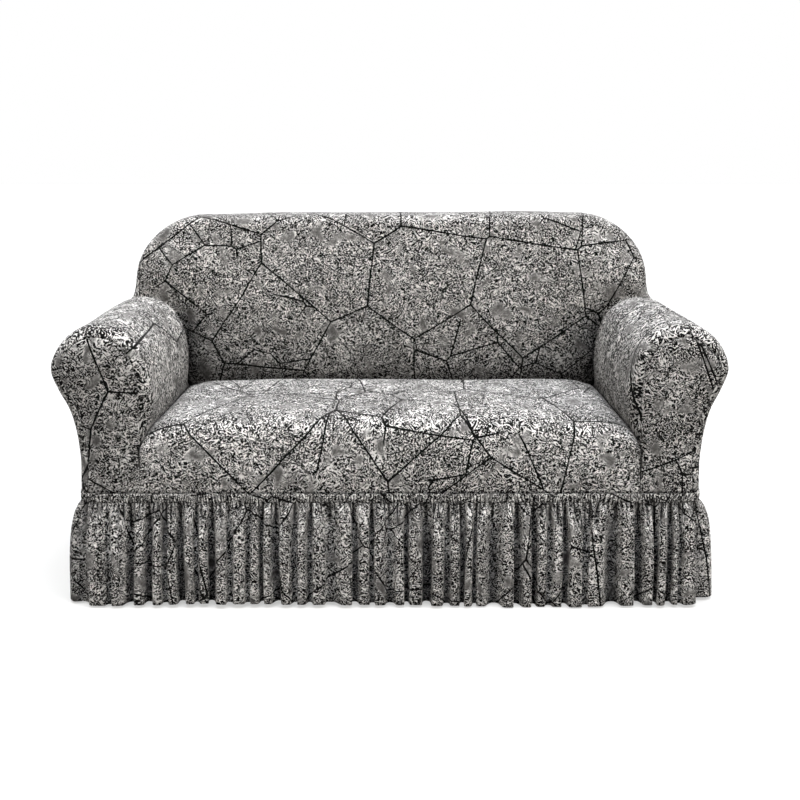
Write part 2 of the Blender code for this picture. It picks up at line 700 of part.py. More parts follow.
def skirt_columns(folds, start, stop):
    """Four places on each fold between two valleys: both sides of its ridge and both sides of its valley."""
    ridges, gaps, valley = folds[0], folds[1], folds[2]
    places = []
    for i in range(len(ridges)):
        before = (i - 1) % len(ridges)
        places.append(ridges[i] - 0.16 * gaps[before] * (1.0 - valley[before]) * 2.0)
        places.append(ridges[i] + 0.16 * gaps[i] * valley[i] * 2.0)
        places.append(ridges[i] + gaps[i] * (valley[i] - 0.12))
        places.append(ridges[i] + gaps[i] * (valley[i] + 0.12))
    places = np.array(places)
    inside = places[(places > start + 0.003) & (places < stop - 0.003)]
    return np.concatenate(((start,), np.sort(inside), (stop,)))


def main():
    for obj in list(bpy.data.objects):
        bpy.data.objects.remove(obj, do_unlink=True)
    waist = Waist()
    folds = fold_rows(waist)
    skin = body_skin()
    points = settle_on_waist(np.array(skin.points), waist)
    faces = outward(points, skin.faces)
    points = uneven(points, normals_of(points, faces))
    normals = normals_of(points, faces)
    # Along its lower edge the cloth is thickened level, so that it stops on the heading.
    foot = points[:, 2] < BASE_Z + 0.0001
    normals[foot, 2] = 0.0
    normals /= np.linalg.norm(normals, axis=1, keepdims=True)
    made = []
    for panel in dict.fromkeys(skin.panels):
        own = [f for f, p in zip(faces, skin.panels) if p == panel]
        solid, all_faces = thicken(points, own, normals, CLOTH, 0.5 * SEAM_GAP)
        made.append(make_object(panel, solid, all_faces, BODY_FINISH))

    half_gap = 0.5 * SEAM_GAP
    ends = piece_ends(waist, folds)
    spans = (
        ("front", ends[3] - waist.length, ends[0]),
        ("right", ends[0], ends[1]),
        ("back", ends[1], ends[2]),
        ("left", ends[2], ends[3]),
    )
    for name, start, stop in spans:
        count = int(np.ceil((stop - start) / HEADING_STEP))
        s = np.linspace(start + half_gap, stop - half_gap, count + 1)
        x, t, nx, nt = waist.at(s)
        edges = (BASE_Z - half_gap, BASE_Z - BAND_HEIGHT + half_gap)
        outer, inner = (
            np.array([np.stack((x + nx * out, t + nt * out, np.full_like(x, z)), -1) for z in edges])
            for out in (BAND_PROUD, BAND_PROUD - BAND_THICK)
        )
        made.append(strip_solid("band_" + name, outer, inner, HEADING_FINISH))
        s = skirt_columns(folds, start, stop)
        s[0] += half_gap
        s[-1] -= half_gap
        outer = skirt_points(waist, folds, s[None, :], np.array(SKIRT_ROWS)[:, None])
        normal = grid_normals(outer)
        normal[:, :, 2] = 0.0
        normal /= np.linalg.norm(normal, axis=-1, keepdims=True)
        # The cut ends face straight along the seam, so that neighbours don't cross.
        _, _, ex, et = waist.at(np.array((s[0], s[-1])))
        normal[:, 0] = (ex[0], et[0], 0.0)
        normal[:, -1] = (ex[1], et[1], 0.0)
        inner = outer - normal * SKIRT_CLOTH
        made.append(strip_solid("skirt_" + name, outer, inner, SKIRT_FINISH))

    # The floor's middle, under the cover's box, is the origin.
    every = np.array([v.co for obj in made for v in obj.data.vertices])
    low, high = every.min(0), every.max(0)
    shift = (-(low[0] + high[0]) / 2.0, -(low[1] + high[1]) / 2.0, -low[2])
    for obj in made:
        for v in obj.data.vertices:
            v.co = (v.co[0] + shift[0], v.co[1] + shift[1], v.co[2] + shift[2])
    print("SHIFT", shift, "SIZE", high - low)
    print("TRIANGLES", {o.name: len(o.data.polygons) for o in made}, sum(len(o.data.polygons) for o in made))


main()
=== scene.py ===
"""Dresses a fitted sofa cover: stretch cloth with a crackled print, a gathered heading and a skirt to the floor.

Laid out as an add-on, and run as a script. Metres, +Z up, the front faces -Y. In the shapes below a point is
(x, t, z), where t is the depth behind the arm fronts; place_points() turns it into the frame's own coordinates.
"""

import math

import bmesh
import bpy
import numpy as np
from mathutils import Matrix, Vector
from mathutils.kdtree import KDTree


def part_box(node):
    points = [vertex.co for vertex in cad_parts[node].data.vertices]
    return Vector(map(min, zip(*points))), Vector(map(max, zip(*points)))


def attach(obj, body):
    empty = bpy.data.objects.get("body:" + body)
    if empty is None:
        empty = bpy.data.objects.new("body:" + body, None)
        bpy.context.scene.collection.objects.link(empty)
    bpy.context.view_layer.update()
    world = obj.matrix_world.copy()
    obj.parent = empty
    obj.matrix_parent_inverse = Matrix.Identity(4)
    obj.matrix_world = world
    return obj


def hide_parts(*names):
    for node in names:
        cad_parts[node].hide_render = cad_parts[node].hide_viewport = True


bl_info = {
    "name": "Sofa Slipcover",
    "version": (1, 0, 0),
    "blender": (4, 5, 0),
    "location": "3D View > Sidebar > Slipcover",
    "description": "Builds a printed stretch sofa cover with a gathered skirt",
    "category": "Object",
}

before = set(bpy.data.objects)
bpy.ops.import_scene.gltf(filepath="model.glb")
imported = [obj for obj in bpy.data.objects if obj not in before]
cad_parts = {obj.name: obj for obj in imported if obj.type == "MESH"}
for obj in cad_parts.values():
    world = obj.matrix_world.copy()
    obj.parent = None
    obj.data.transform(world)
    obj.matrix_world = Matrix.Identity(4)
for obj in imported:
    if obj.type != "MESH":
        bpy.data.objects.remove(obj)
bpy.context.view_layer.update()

# Sizes of the cover, in metres.
BASE_Z = 0.293
BAND_HEIGHT = 0.025
BAND_PROUD = 0.0012
BACK_TOP_Z = 0.952
BACK_HALF_TOP = 0.772
BACK_HALF_BASE = 0.794
BACK_CORNER_R = 0.20
BACK_TOP_SAG_LEFT = 0.005
BACK_FACE_T = 0.672
BACK_RECLINE = 0.075
BACK_BOW = 0.030
BACK_BOW_RUN = 0.3
SEAT_TOP_Z = 0.465
BACK_FRONT_R = 0.036
BACK_REAR_R = 0.030
BACK_REAR_T = 0.885
BACK_REAR_LEAN = 0.050
REAR_SWELL = 0.006
BACK_EDGE_SWELL = 0.004
BACK_SIDE_MERGE = 0.02
ARM_FRONT_R = 0.050
ARM_DOME = 0.013
ARM_DOME_RUN = 0.06
ARM_TUCK = 0.016
ARM_REAR_SHIFT = 0.060
SEAT_END_START = 0.84
SEAT_CROWN = 0.020
SEAT_END_SWELL = 0.004
SEAT_PULL = 0.42
WAIST_HALF = 0.796
WAIST_FRONT_T = -0.010
WAIST_REAR_T = 0.886
WAIST_FRONT_R = 0.055
WAIST_REAR_R = 0.032
SKIRT_DROP = 0.268
SKIRT_SPRING = 0.025
SKIRT_SLOPE = 0.011
SKIRT_WAVE_TOP = 0.0012
SKIRT_WAVE = 0.0160
SKIRT_SWAY = 0.0022
SKIRT_RIPPLE = 0.0009
HEM_LIFT = 0.002
FOLD_PITCH = 0.046
FOLD_CORNER_GAP = 0.062
SHALLOW_SHARE = 0.38
GATHER_PITCH = 0.021
PUCKER_PITCH = 0.0068
SLIT_PITCH = 0.0125
SEAM_GAP = 0.0003
SETTLE_HEIGHT = 0.10
SEAM_FLAT = 0.005
UNEVEN_FROM = 0.03

# How far below the heading the skirt's folds, gathers, puckers, puff, spring and slits grow to nearly their
# full size, and how far below it they fade.
FOLD_GROWS = 0.040
GATHER_GROWS, GATHER_FADES = 0.020, 0.040
PUCKER_TOP, PUCKER_SWELL = 0.0006, 0.0012
PUCKER_GROWS, PUCKER_SETTLES, PUCKER_FADES = 0.004, 0.015, 0.025
PUFF_GROWS, PUFF_FADES = 0.010, 0.080
SPRING_GROWS = 0.090
SLIT_OPENS = 0.003

# Steps and counts of the nets, and the least distance between two places.
GATHER_CHECK = 0.0005
WAIST_CHECKS = 6000
PATH_CHECKS = 600
RUN_CHECKS = 400
HEADING_ROWS = 10
SKIRT_ROWS = 38
ARM_FRONT_COLUMNS = 28
ARM_FRONT_ROWS = 56
COLUMN_STEP = 0.05
OUTLINE_STEP = 0.01
MERGE_DISTANCE = 0.00002
NEAR_ZERO = 1e-6

# Seeds of the random draws.
FOLD_SEED = 11
GATHER_SEED = 5
PUCKER_SEED = 9
SLIT_SEED = 21

# Seat rows from the heading, over the front edge, to the crevice at the back.
# mid_t, mid_z: the row at the middle of the seat. end_x, end_t, end_z: the row where it meets the arm.
SEAT_ROWS = np.array((
    (-0.013, 0.293, 0.634, 0.001, 0.293),
    (-0.012, 0.325, 0.635, 0.002, 0.325),
    (-0.008, 0.360, 0.636, 0.002, 0.360),
    (-0.002, 0.392, 0.637, 0.003, 0.385),
    (0.006, 0.420, 0.637, 0.005, 0.402),
    (0.020, 0.443, 0.634, 0.020, 0.415),
    (0.048, 0.457, 0.630, 0.050, 0.424),
    (0.098, 0.465, 0.627, 0.090, 0.430),
    (0.175, 0.468, 0.623, 0.155, 0.434),
    (0.270, 0.469, 0.619, 0.245, 0.436),
    (0.370, 0.470, 0.616, 0.345, 0.438),
    (0.470, 0.471, 0.613, 0.450, 0.440),
    (0.560, 0.471, 0.611, 0.545, 0.441),
    (0.620, 0.468, 0.610, 0.612, 0.440),
    (0.655, 0.460, 0.610, 0.652, 0.437),
    (0.680, 0.436, 0.610, 0.680, 0.430),
))
NOTCH_ROW = 4
MIDDLE_ROW = 9.0
LAST_ROW = len(SEAT_ROWS) - 1

# Between which rows the seat's crown rises and falls, the swell of its front ends fades, and the arm's
# inner side is tucked in and its outer side shifted forward.
CROWN_RISE = (2.0, 6.5)
CROWN_FALL = (15.0, 8.0)
END_SWELL_FADE = (7.0, 2.0)
TUCK_ROWS = (13.0, 15.0)
SHIFT_ROWS = (7.0, 15.0)

# Arm outline from the seat crevice, over the roll, down the outer side to the heading.
# x, z: the outline. q: the matching place on the back's outline (0-1 top, 1-2 corner, 2-3 side).
# fade: 0 where the back stands square to the arm, 1 where the arm's side runs smoothly into the back's.
ARM_OUTLINE = np.array((
    (0.620, 0.430, 0.60, 0.0),
    (0.611, 0.470, 0.70, 0.0),
    (0.605, 0.530, 0.80, 0.0),
    (0.611, 0.600, 0.92, 0.0),
    (0.632, 0.660, 1.15, 0.0),
    (0.674, 0.703, 1.50, 0.0),
    (0.730, 0.7195, 1.80, 0.05),
    (0.787, 0.708, 2.03, 0.40),
    (0.834, 0.668, 2.16, 0.75),
    (0.859, 0.610, 2.31, 1.0),
    (0.843, 0.555, 2.45, 1.0),
    (0.818, 0.503, 2.566, 1.0),
    (0.803, 0.445, 2.686, 1.0),
    (0.796, 0.385, 2.810, 1.0),
    (0.794, 0.335, 2.913, 1.0),
    (0.797, 0.293, 3.000, 1.0),
))
LAST_COL = len(ARM_OUTLINE) - 1
CREST_COL = 6.0
FOOT_COLS = 3.0
CREVICE_COLS = 1.6

# Up the back's face: the shares that are flat and that round the edge, the share of the flat that rises out
# of the crevice, the most of a short column that the edge may take, and how far the edge's swell goes.
FACE_SHARE = 0.8
ROUND_SHARE = 0.2
LIFT_SHARE = 0.14
EDGE_SHARE = 0.85
SWELL_SPAN = 1.4

# About how long the cloth runs up the back's face, round its edge, over the top, round the rear edge and down
# the rear, and across the rear, which set how many rows and columns its panels have.
BACK_RUNS = (0.50, 0.10, 0.12, 0.06, 0.75)
BACK_ACROSS = 1.5

# The main folds across the front of the skirt: the place of each ridge, in mm from the middle.
FRONT_RIDGES = (
    -742, -697, -640, -598, -556, -510, -482, -432, -388, -342, -310, -265, -222, -190, -115, -67, -28,
    23, 56, 121, 164, 203, 233, 295, 346, 385, 426, 464, 531, 605, 659, 695, 728, 752,
)

# The hem's level: s round the waist in metres from the middle of the front, and its height.
HEM_LEVEL = np.array((
    (-0.75, 0.004),
    (-0.45, 0.010),
    (-0.12, 0.007),
    (0.12, 0.005),
    (0.35, 0.000),
    (0.52, 0.003),
    (0.75, 0.007),
    (1.30, 0.004),
    (1.70, 0.006),
    (2.40, 0.002),
    (3.10, 0.006),
    (3.60, 0.003),
))

# Creases in the stretched cloth, each a soft trough (or, where deep is negative, a ridge) along a line.
# x1 t1 z1, x2 t2 z2: its ends. wide: its half width. deep: its depth.
CREASES = (
    (0.637, 0.000, 0.405, 0.634, -0.008, 0.315, 0.006, 0.0045),
    (-0.637, 0.002, 0.404, -0.652, -0.004, 0.392, 0.005, 0.0050),
    (-0.634, 0.000, 0.380, -0.634, -0.006, 0.320, 0.006, 0.0022),
    (-0.782, 0.700, 0.735, -0.762, 0.735, 0.800, 0.006, 0.0042),
    (-0.776, 0.690, 0.748, -0.744, 0.712, 0.812, 0.006, 0.0040),
    (-0.785, 0.730, 0.742, -0.775, 0.765, 0.795, 0.006, 0.0034),
    (-0.752, 0.684, 0.742, -0.716, 0.700, 0.792, 0.006, 0.0026),
    (0.776, 0.700, 0.742, 0.760, 0.730, 0.790, 0.006, 0.0026),
    (0.752, 0.688, 0.745, 0.722, 0.704, 0.788, 0.006, 0.0020),
    (-0.596, 0.030, 0.436, -0.540, 0.060, 0.450, 0.010, 0.0018),
    (0.594, 0.034, 0.436, 0.528, 0.075, 0.452, 0.010, 0.0018),
    (-0.590, 0.640, 0.462, -0.500, 0.560, 0.470, 0.014, 0.0020),
    (0.590, 0.640, 0.462, 0.505, 0.575, 0.470, 0.014, 0.0018),
    (-0.580, 0.672, 0.500, -0.470, 0.688, 0.640, 0.016, 0.0022),
    (0.580, 0.672, 0.500, 0.480, 0.688, 0.620, 0.016, 0.0020),
    (-0.840, 0.560, 0.500, -0.808, 0.330, 0.420, 0.020, 0.0030),
    (0.840, 0.560, 0.500, 0.808, 0.330, 0.420, 0.020, 0.0028),
    (-0.822, 0.610, 0.460, -0.800, 0.450, 0.350, 0.018, 0.0024),
    (0.822, 0.610, 0.460, 0.800, 0.450, 0.350, 0.018, 0.0022),
    (-0.800, 0.720, 0.640, -0.790, 0.780, 0.420, 0.016, 0.0030),
    (0.800, 0.720, 0.640, 0.790, 0.790, 0.420, 0.016, 0.0028),
)

# Inside the sofa: a point that each panel's cloth faces away from.
SEAT_HOLLOW = (0.0, 0.35, 0.15)
BACK_HOLLOW = (0.0, 0.85, 0.45)
REAR_HOLLOW = (0.0, 0.40, 0.55)
WAIST_HOLLOW = (0.0, 0.43, 0.15)

# Where the print starts on each panel, so that no two panels show the same piece of it, how much further on it
# starts on each next side of the heading and the skirt, and how the pull over the arms scales it there.
SEAT_START = (0.37, 0.12)
LEFT_ARM_START, RIGHT_ARM_START = (2.31, 0.83), (5.07, 3.46)
LEFT_FRONT_START, RIGHT_FRONT_START = (7.15, 1.33), (8.62, 5.21)
BACK_INNER_START = (1.02, 6.44)
BACK_OUTER_START = (9.35, 2.18)
HEADING_START, HEADING_NEXT = (0.6, 0.31), 1.7
SKIRT_START, SKIRT_NEXT = (0.9, 0.0), 2.3
ARM_PRINT_SCALE = (0.72, 0.55)

# The print: how softly a crack line ends, the ways in which the squiggles lie and where one way gives over to
# the next in the noise that parts them, how long they are for their width, and how many level lines make them.
LINE_SOFTNESS = 0.0005
SQUIGGLE_TURNS = (0.5, 1.2, 1.9, 2.6)
SQUIGGLE_AREAS = (0.44, 0.50, 0.56)
SQUIGGLE_AREA_SOFTNESS = 0.006
SQUIGGLE_STRETCH = 3.2
SQUIGGLE_LEVELS = 6.0
SQUIGGLE_SOFTNESS = 0.04

# Stitches: their pitch, the thread's half width, and for each of the heading's rows its place below the upper
# seam and how bright the cloth stays there in its painted shade.
HEADING_STITCH, HEADING_THREAD = 0.006, 0.0007
HEADING_SEAMS = ((-0.0015, 0.75), (-0.0235, 0.96))
HEM_STITCH, HEM_THREAD = 0.004, 0.0006

# The lights: each one's setting, the way in which it stands from the cover, how wide it is in degrees, and its
# colour. LIGHT_AWAY only sets where they are put, since their light is the same from any distance.
LIGHTS = (
    ("top light", "top_light", (0.10, -0.05, 1.0), 60.0, (0.985, 1.0, 1.035)),
    ("right light", "right_light", (1.0, -0.50, 0.50), 40.0, (1.0, 0.945, 0.865)),
    ("left light", "left_light", (-1.0, -0.60, 0.55), 40.0, (1.0, 0.945, 0.865)),
    ("rear light", "rear_light", (-0.25, 1.0, 0.28), 40.0, (1.0, 1.0, 1.0)),
)
LIGHT_AWAY = 4.0

# The camera stands a little to the right and is turned a little to the right.
CAMERA_ASIDE = 0.020
CAMERA_TURN = -0.0016

# Painted light and shade: how bright the skirt stays between two depths in its folds, lighter on its crests and
# darker on its flanks, in its valleys and in its slits.
FOLD_SHADES = (
    (-0.4, 0.0, 1.06, 1.0),
    (0.30, 0.50, 1.0, 0.78),
    (0.80, 1.02, 1.0, 0.35),
    (1.0, 1.4, 1.0, 0.35),
)


# ---------------------------------------------------------------- the cover's shapes


def frame_shift():
    """How far the frame stands from (x, t, z), read off the heading's box."""
    left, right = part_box("band_left")[0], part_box("band_right")[1]
    rear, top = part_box("band_back")[1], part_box("band_front")[1]
    return Vector((
        (left[0] + right[0]) / 2.0,
        rear[1] - WAIST_REAR_T - BAND_PROUD,
        top[2] - BASE_Z + SEAM_GAP / 2.0,
    ))


SHIFT = np.array(frame_shift())


def smooth(a, b, x):
    """A smooth change from 0 to 1 as x goes from a to b."""
    s = np.clip((x - a) / (b - a), 0.0, 1.0)
    return s * s * (3.0 - 2.0 * s)


def spline(table, v):
    """Catmull-Rom rows of the table at each row number v."""
    v = np.asarray(v, float)
    i = np.clip(np.floor(v).astype(int), 0, len(table) - 2)
    f = (v - i)[..., None]
    last = len(table) - 1
    p0 = table[np.clip(i - 1, 0, last)]
    p1 = table[i]
    p2 = table[i + 1]
    p3 = table[np.clip(i + 2, 0, last)]
    a = 2.0 * p1 + (p2 - p0) * f
    b = (2.0 * p0 - 5.0 * p1 + 4.0 * p2 - p3) * f * f
    c = (3.0 * p1 - p0 - 3.0 * p2 + p3) * f * f * f
    return 0.5 * (a + b + c)


def seat_points(u, v):
    """The seat at u from -1 (left end) to 1 (right end) and row v."""
    u, v = np.broadcast_arrays(np.asarray(u, float), np.asarray(v, float))
    mid_t, mid_z, end_x, end_t, end_z = np.moveaxis(spline(SEAT_ROWS, v), -1, 0)
    side = np.abs(u)
    k = np.clip((side - SEAT_END_START) / (1.0 - SEAT_END_START), 0.0, 1.0)
    b = 1.0 - np.sqrt(np.clip(1.0 - k * k, 0.0, 1.0))
    crown = SEAT_CROWN * (1.0 - side**2) * smooth(*CROWN_RISE, v) * smooth(*CROWN_FALL, v)
    t = mid_t * (1.0 - b) + end_t * b + SEAT_END_SWELL * side**2 * (1.0 - b) * smooth(*END_SWELL_FADE, v)
    z = mid_z * (1.0 - b) + end_z * b + crown * (1.0 - b)
    return np.stack((u * end_x, t, z), -1)


def arm_outline(w, v):
    """(x, z, q, fade) of the right arm's outline at column w and row v, before its front is rounded."""
    row = spline(SEAT_ROWS, v)
    out = spline(ARM_OUTLINE, w)
    near = np.clip(1.0 - w / 2.0, 0.0, 1.0) ** 2
    out[..., 0] += near * (row[..., 2] - ARM_OUTLINE[0, 0])
    out[..., 1] += near * (row[..., 4] - ARM_OUTLINE[0, 1])
    return out


def arm_points(w, v):
    """The right arm at column w (0 in the seat crevice, LAST_COL at the heading) and row v."""
    w, v = np.broadcast_arrays(np.asarray(w, float), np.asarray(v, float))
    here = arm_outline(w, v)
    ahead = arm_outline(np.minimum(w + COLUMN_STEP, LAST_COL), v)
    behind = arm_outline(np.maximum(w - COLUMN_STEP, 0.0), v)
    along = ahead[..., :2] - behind[..., :2]
    along /= np.linalg.norm(along, axis=-1, keepdims=True)
    inward = np.stack((along[..., 1], -along[..., 0] * smooth(LAST_COL, LAST_COL - FOOT_COLS, w)), -1)
    t = spline(SEAT_ROWS, v)[..., 3]
    ahead_of = np.clip(ARM_FRONT_R - t, 0.0, ARM_FRONT_R)
    inset = ARM_FRONT_R - np.sqrt(ARM_FRONT_R**2 - ahead_of**2)
    inset = inset * smooth(0.0, CREVICE_COLS, w)
    fade = here[..., 3]
    tuck = ARM_TUCK * smooth(*TUCK_ROWS, v) * (1.0 - fade) * smooth(0.0, 1.0, w)
    xz = here[..., :2] + inward * (inset + tuck)[..., None]
    t = t - ARM_REAR_SHIFT * fade * smooth(*SHIFT_ROWS, v)
    return np.stack((xz[..., 0], t, xz[..., 1]), -1)


def top_sag(x, q):
    """How far the back's top hangs lower at x to the left of the middle."""
    return BACK_TOP_SAG_LEFT * smooth(0.05, 0.50, x) * smooth(2.4, 1.6, q)


def back_outline(q, side):
    """(x, z) on the back's outline for the right half at q; side is 1 or -1 for the half it is for."""
    r = BACK_CORNER_R
    turn = np.clip(q - 1.0, 0.0, 1.0) * np.pi / 2.0
    down = np.clip(q - 2.0, 0.0, 1.0)
    x = (BACK_HALF_TOP - r) * np.clip(q, 0.0, 1.0) + r * np.sin(turn)
    x = x + (BACK_HALF_BASE - BACK_HALF_TOP) * down
    z = BACK_TOP_Z - r * (1.0 - np.cos(turn)) - (BACK_TOP_Z - r - BASE_Z) * down
    return x, z - np.where(side < 0, top_sag(x, q), 0.0)


def back_face_t(z):
    """The depth of the back's face at that height."""
    return BACK_FACE_T + BACK_RECLINE * (z - SEAT_TOP_Z)


def back_rear_t(z):
    """The depth of the back's rear at that height."""
    return BACK_REAR_T + BACK_REAR_LEAN * (z - BASE_Z)


def back_points(start, q, fade, side, r):
    """The back from its crevice at start (x, t, z of the right half) to the outline at q.
    r runs 0-1 up the face and round its edge, 1-2 across the top or side, 2-3 round the rear edge.
    Returns the points, and for each (x, z) of its place on the cloth laid flat."""
    x0, t0, z0 = np.moveaxis(start, -1, 0)
    x1, z1 = back_outline(q, side)
    long = np.hypot(x1 - x0, z1 - z0)
    edge = np.minimum(BACK_FRONT_R, EDGE_SHARE * long)
    r1 = np.clip(r, 0.0, 1.0)
    flat = np.clip(r1 / FACE_SHARE, 0.0, 1.0)
    turn = np.clip((r1 - FACE_SHARE) / ROUND_SHARE, 0.0, 1.0) * np.pi / 2.0
    run = (long - edge) * flat + edge * np.sin(turn)
    share = run / np.maximum(long, NEAR_ZERO)
    z_now = z0 + (z1 - z0) * share
    bulge = BACK_BOW * np.sin(np.pi * flat) * np.clip(long / BACK_BOW_RUN, 0.0, 1.0)
    lift = smooth(0.0, LIFT_SHARE, flat)
    t_face = t0 * (1.0 - lift) + (back_face_t(z_now) - bulge) * lift + edge * (1.0 - np.cos(turn))
    a_fade = r1 * r1 * (3.0 - 2.0 * r1)
    t_end = back_face_t(z1) + BACK_FRONT_R + BACK_SIDE_MERGE
    t_fade = t0 + (t_end - t0) * r1
    a = share * (1.0 - fade) + a_fade * fade
    t = t_face * (1.0 - fade) + t_fade * fade
    x = x0 + (x1 - x0) * a
    z = z0 + (z1 - z0) * a
    t_front = (back_face_t(z1) + edge) * (1.0 - fade) + t_end * fade
    t_back = back_rear_t(z1)
    r2 = np.clip(r - 1.0, 0.0, 1.0)
    across = t_front + (t_back - BACK_REAR_R - t_front) * r2
    t = np.where(r > 1.0, across, t)
    turn2 = np.clip(r - 2.0, 0.0, 1.0) * np.pi / 2.0
    t = np.where(r > 2.0, t_back - BACK_REAR_R * (1.0 - np.sin(turn2)), t)
    pull = np.where(r > 2.0, BACK_REAR_R * (1.0 - np.cos(turn2)), 0.0)
    nx, nz = back_outline(np.minimum(q + OUTLINE_STEP, 3.0), side)
    px, pz = back_outline(np.maximum(q - OUTLINE_STEP, 0.0), side)
    size = np.maximum(np.hypot(nx - px, nz - pz), 1e-9)
    out_x, out_z = -(nz - pz) / size, (nx - px) / size
    swell = BACK_EDGE_SWELL * np.sin(np.pi * np.clip((r - FACE_SHARE) / SWELL_SPAN, 0.0, 1.0)) * (1.0 - fade)
    x = x + out_x * (swell - pull)
    z = z + out_z * (swell - pull)
    z = np.where(q >= 2.999, BASE_Z, z)
    # On the flat cloth a point lies along the line up the face, and past the edge square to the outline.
    far = (long - edge) * flat + edge * turn
    far = far * (1.0 - fade) + (t_fade - t0) * fade
    past = np.where(r > 1.0, across - t_front, 0.0) + BACK_REAR_R * turn2
    dir_x = (x1 - x0) / np.maximum(long, NEAR_ZERO) * (1.0 - fade) + out_x * fade
    dir_z = (z1 - z0) / np.maximum(long, NEAR_ZERO) * (1.0 - fade) + out_z * fade
    flat_place = np.stack((x0 + dir_x * far + out_x * past, z0 + dir_z * far + out_z * past), -1)
    return np.stack((x, t, z), -1), flat_place


class Waist:
    """A rounded rectangle in plan. s runs from the middle of the front to the right and on round."""

    def __init__(self):
        # Each run: its kind, its length or radius, where it starts or its centre, and its heading.
        front_half = WAIST_HALF - WAIST_FRONT_R
        rear_half = WAIST_HALF - WAIST_REAR_R
        side = (WAIST_REAR_T - WAIST_REAR_R) - (WAIST_FRONT_T + WAIST_FRONT_R)
        self.runs = (
            ("line", front_half, (0.0, WAIST_FRONT_T), 0.0),
            ("turn", WAIST_FRONT_R, (front_half, WAIST_FRONT_T + WAIST_FRONT_R), 0.0),
            ("line", side, (WAIST_HALF, WAIST_FRONT_T + WAIST_FRONT_R), 0.5 * np.pi),
            ("turn", WAIST_REAR_R, (rear_half, WAIST_REAR_T - WAIST_REAR_R), 0.5 * np.pi),
            ("line", 2.0 * rear_half, (rear_half, WAIST_REAR_T), np.pi),
            ("turn", WAIST_REAR_R, (-rear_half, WAIST_REAR_T - WAIST_REAR_R), np.pi),
            ("line", side, (-WAIST_HALF, WAIST_REAR_T - WAIST_REAR_R), 1.5 * np.pi),
            ("turn", WAIST_FRONT_R, (-front_half, WAIST_FRONT_T + WAIST_FRONT_R), 1.5 * np.pi),
            ("line", front_half, (-front_half, WAIST_FRONT_T), 2.0 * np.pi),
        )
        self.lengths = [r[1] * (1.0 if r[0] == "line" else 0.5 * np.pi) for r in self.runs]
        self.starts = np.concatenate(((0.0,), np.cumsum(self.lengths)))
        self.length = float(self.starts[-1])

    def at(self, s):
        """(x, t) on the line and (nx, nt) pointing out of it."""
        s = np.mod(np.asarray(s, float), self.length)
        x, t = np.zeros_like(s), np.zeros_like(s)
        nx, nt = np.zeros_like(s), np.zeros_like(s)
        for k, (kind, size, place, heading) in enumerate(self.runs):
            here = (s >= self.starts[k]) & (s <= self.starts[k + 1])
            run = s - self.starts[k]
            if kind == "line":
                angle = np.full_like(s, heading)
                px = place[0] + run * np.cos(heading)
                pt = place[1] + run * np.sin(heading)
            else:
                angle = heading + run / size
                px = place[0] + size * np.sin(angle)
                pt = place[1] - size * np.cos(angle)
            x, t = np.where(here, px, x), np.where(here, pt, t)
            nx, nt = np.where(here, np.sin(angle), nx), np.where(here, -np.cos(angle), nt)
        return x, t, nx, nt


WAIST = Waist()


def fold_rows():
    """The skirt's folds. For each: the place of its ridge round the waist, its width, its valley's share of the
    way, how deep and how high it is, how far it drifts aside on the way down, how broad its ridge is, and how
    far the ridge leans."""
    rng = np.random.RandomState(FOLD_SEED)
    front = np.array(FRONT_RIDGES) / 1000.0
    lo, hi = front[-1] + FOLD_CORNER_GAP, WAIST.length + front[0] - FOLD_CORNER_GAP
    count = int(round((hi - lo) / FOLD_PITCH))
    widths = rng.uniform(0.72, 1.35, count)
    rest = lo + np.concatenate(((0.0,), np.cumsum(widths / widths.sum()))) * (hi - lo)
    ridges = np.sort(np.concatenate((front, rest)))
    gaps = np.diff(np.concatenate((ridges, (ridges[0] + WAIST.length,))))
    valley = rng.uniform(0.42, 0.60, len(ridges))
    deep = np.clip(np.sqrt(gaps / FOLD_PITCH), 0.62, 1.22) * rng.uniform(0.85, 1.10, len(ridges))
    high = np.clip(np.sqrt((gaps + np.roll(gaps, 1)) / (2.0 * FOLD_PITCH)), 0.7, 1.2)
    high = high * rng.uniform(0.80, 1.12, len(ridges))
    drift = rng.uniform(-0.006, 0.006, len(ridges))
    shallow = rng.uniform(0.0, 1.0, len(ridges)) < SHALLOW_SHARE
    deep = deep * np.where(shallow, rng.uniform(0.15, 0.60, len(ridges)), rng.uniform(0.95, 1.20, len(ridges)))
    high = high * rng.uniform(0.65, 1.15, len(ridges))
    broad = rng.uniform(0.8, 2.3, len(ridges))
    lean = rng.uniform(-0.17, 0.17, len(ridges))
    # One wide smooth fold goes round the front left corner.
    deep[-2] = 0.05
    return ridges, gaps, valley, deep, high, drift, broad, lean


def gather_rows(pitch, seed):
    """A finer row of gathers under the heading, in the same terms as the folds. How far down each one lasts
    stands in place of its drift."""
    rng = np.random.RandomState(seed)
    count = int(round(WAIST.length / pitch))
    widths = rng.uniform(0.6, 1.5, count)
    places = np.cumsum(widths / widths.sum()) * WAIST.length - 1.0
    gaps = np.diff(np.concatenate((places, (places[0] + WAIST.length,))))
    valley = rng.uniform(0.38, 0.62, count)
    high = rng.uniform(0.4, 1.2, count)
    last = 0.5 + 5.5 * rng.uniform(0.0, 1.0, count) ** 3
    return places, gaps, valley, high, high, last, np.full(count, 1.4), np.zeros(count)


FOLDS = fold_rows()
GATHERS = gather_rows(GATHER_PITCH, GATHER_SEED)
PUCKERS = gather_rows(PUCKER_PITCH, PUCKER_SEED)


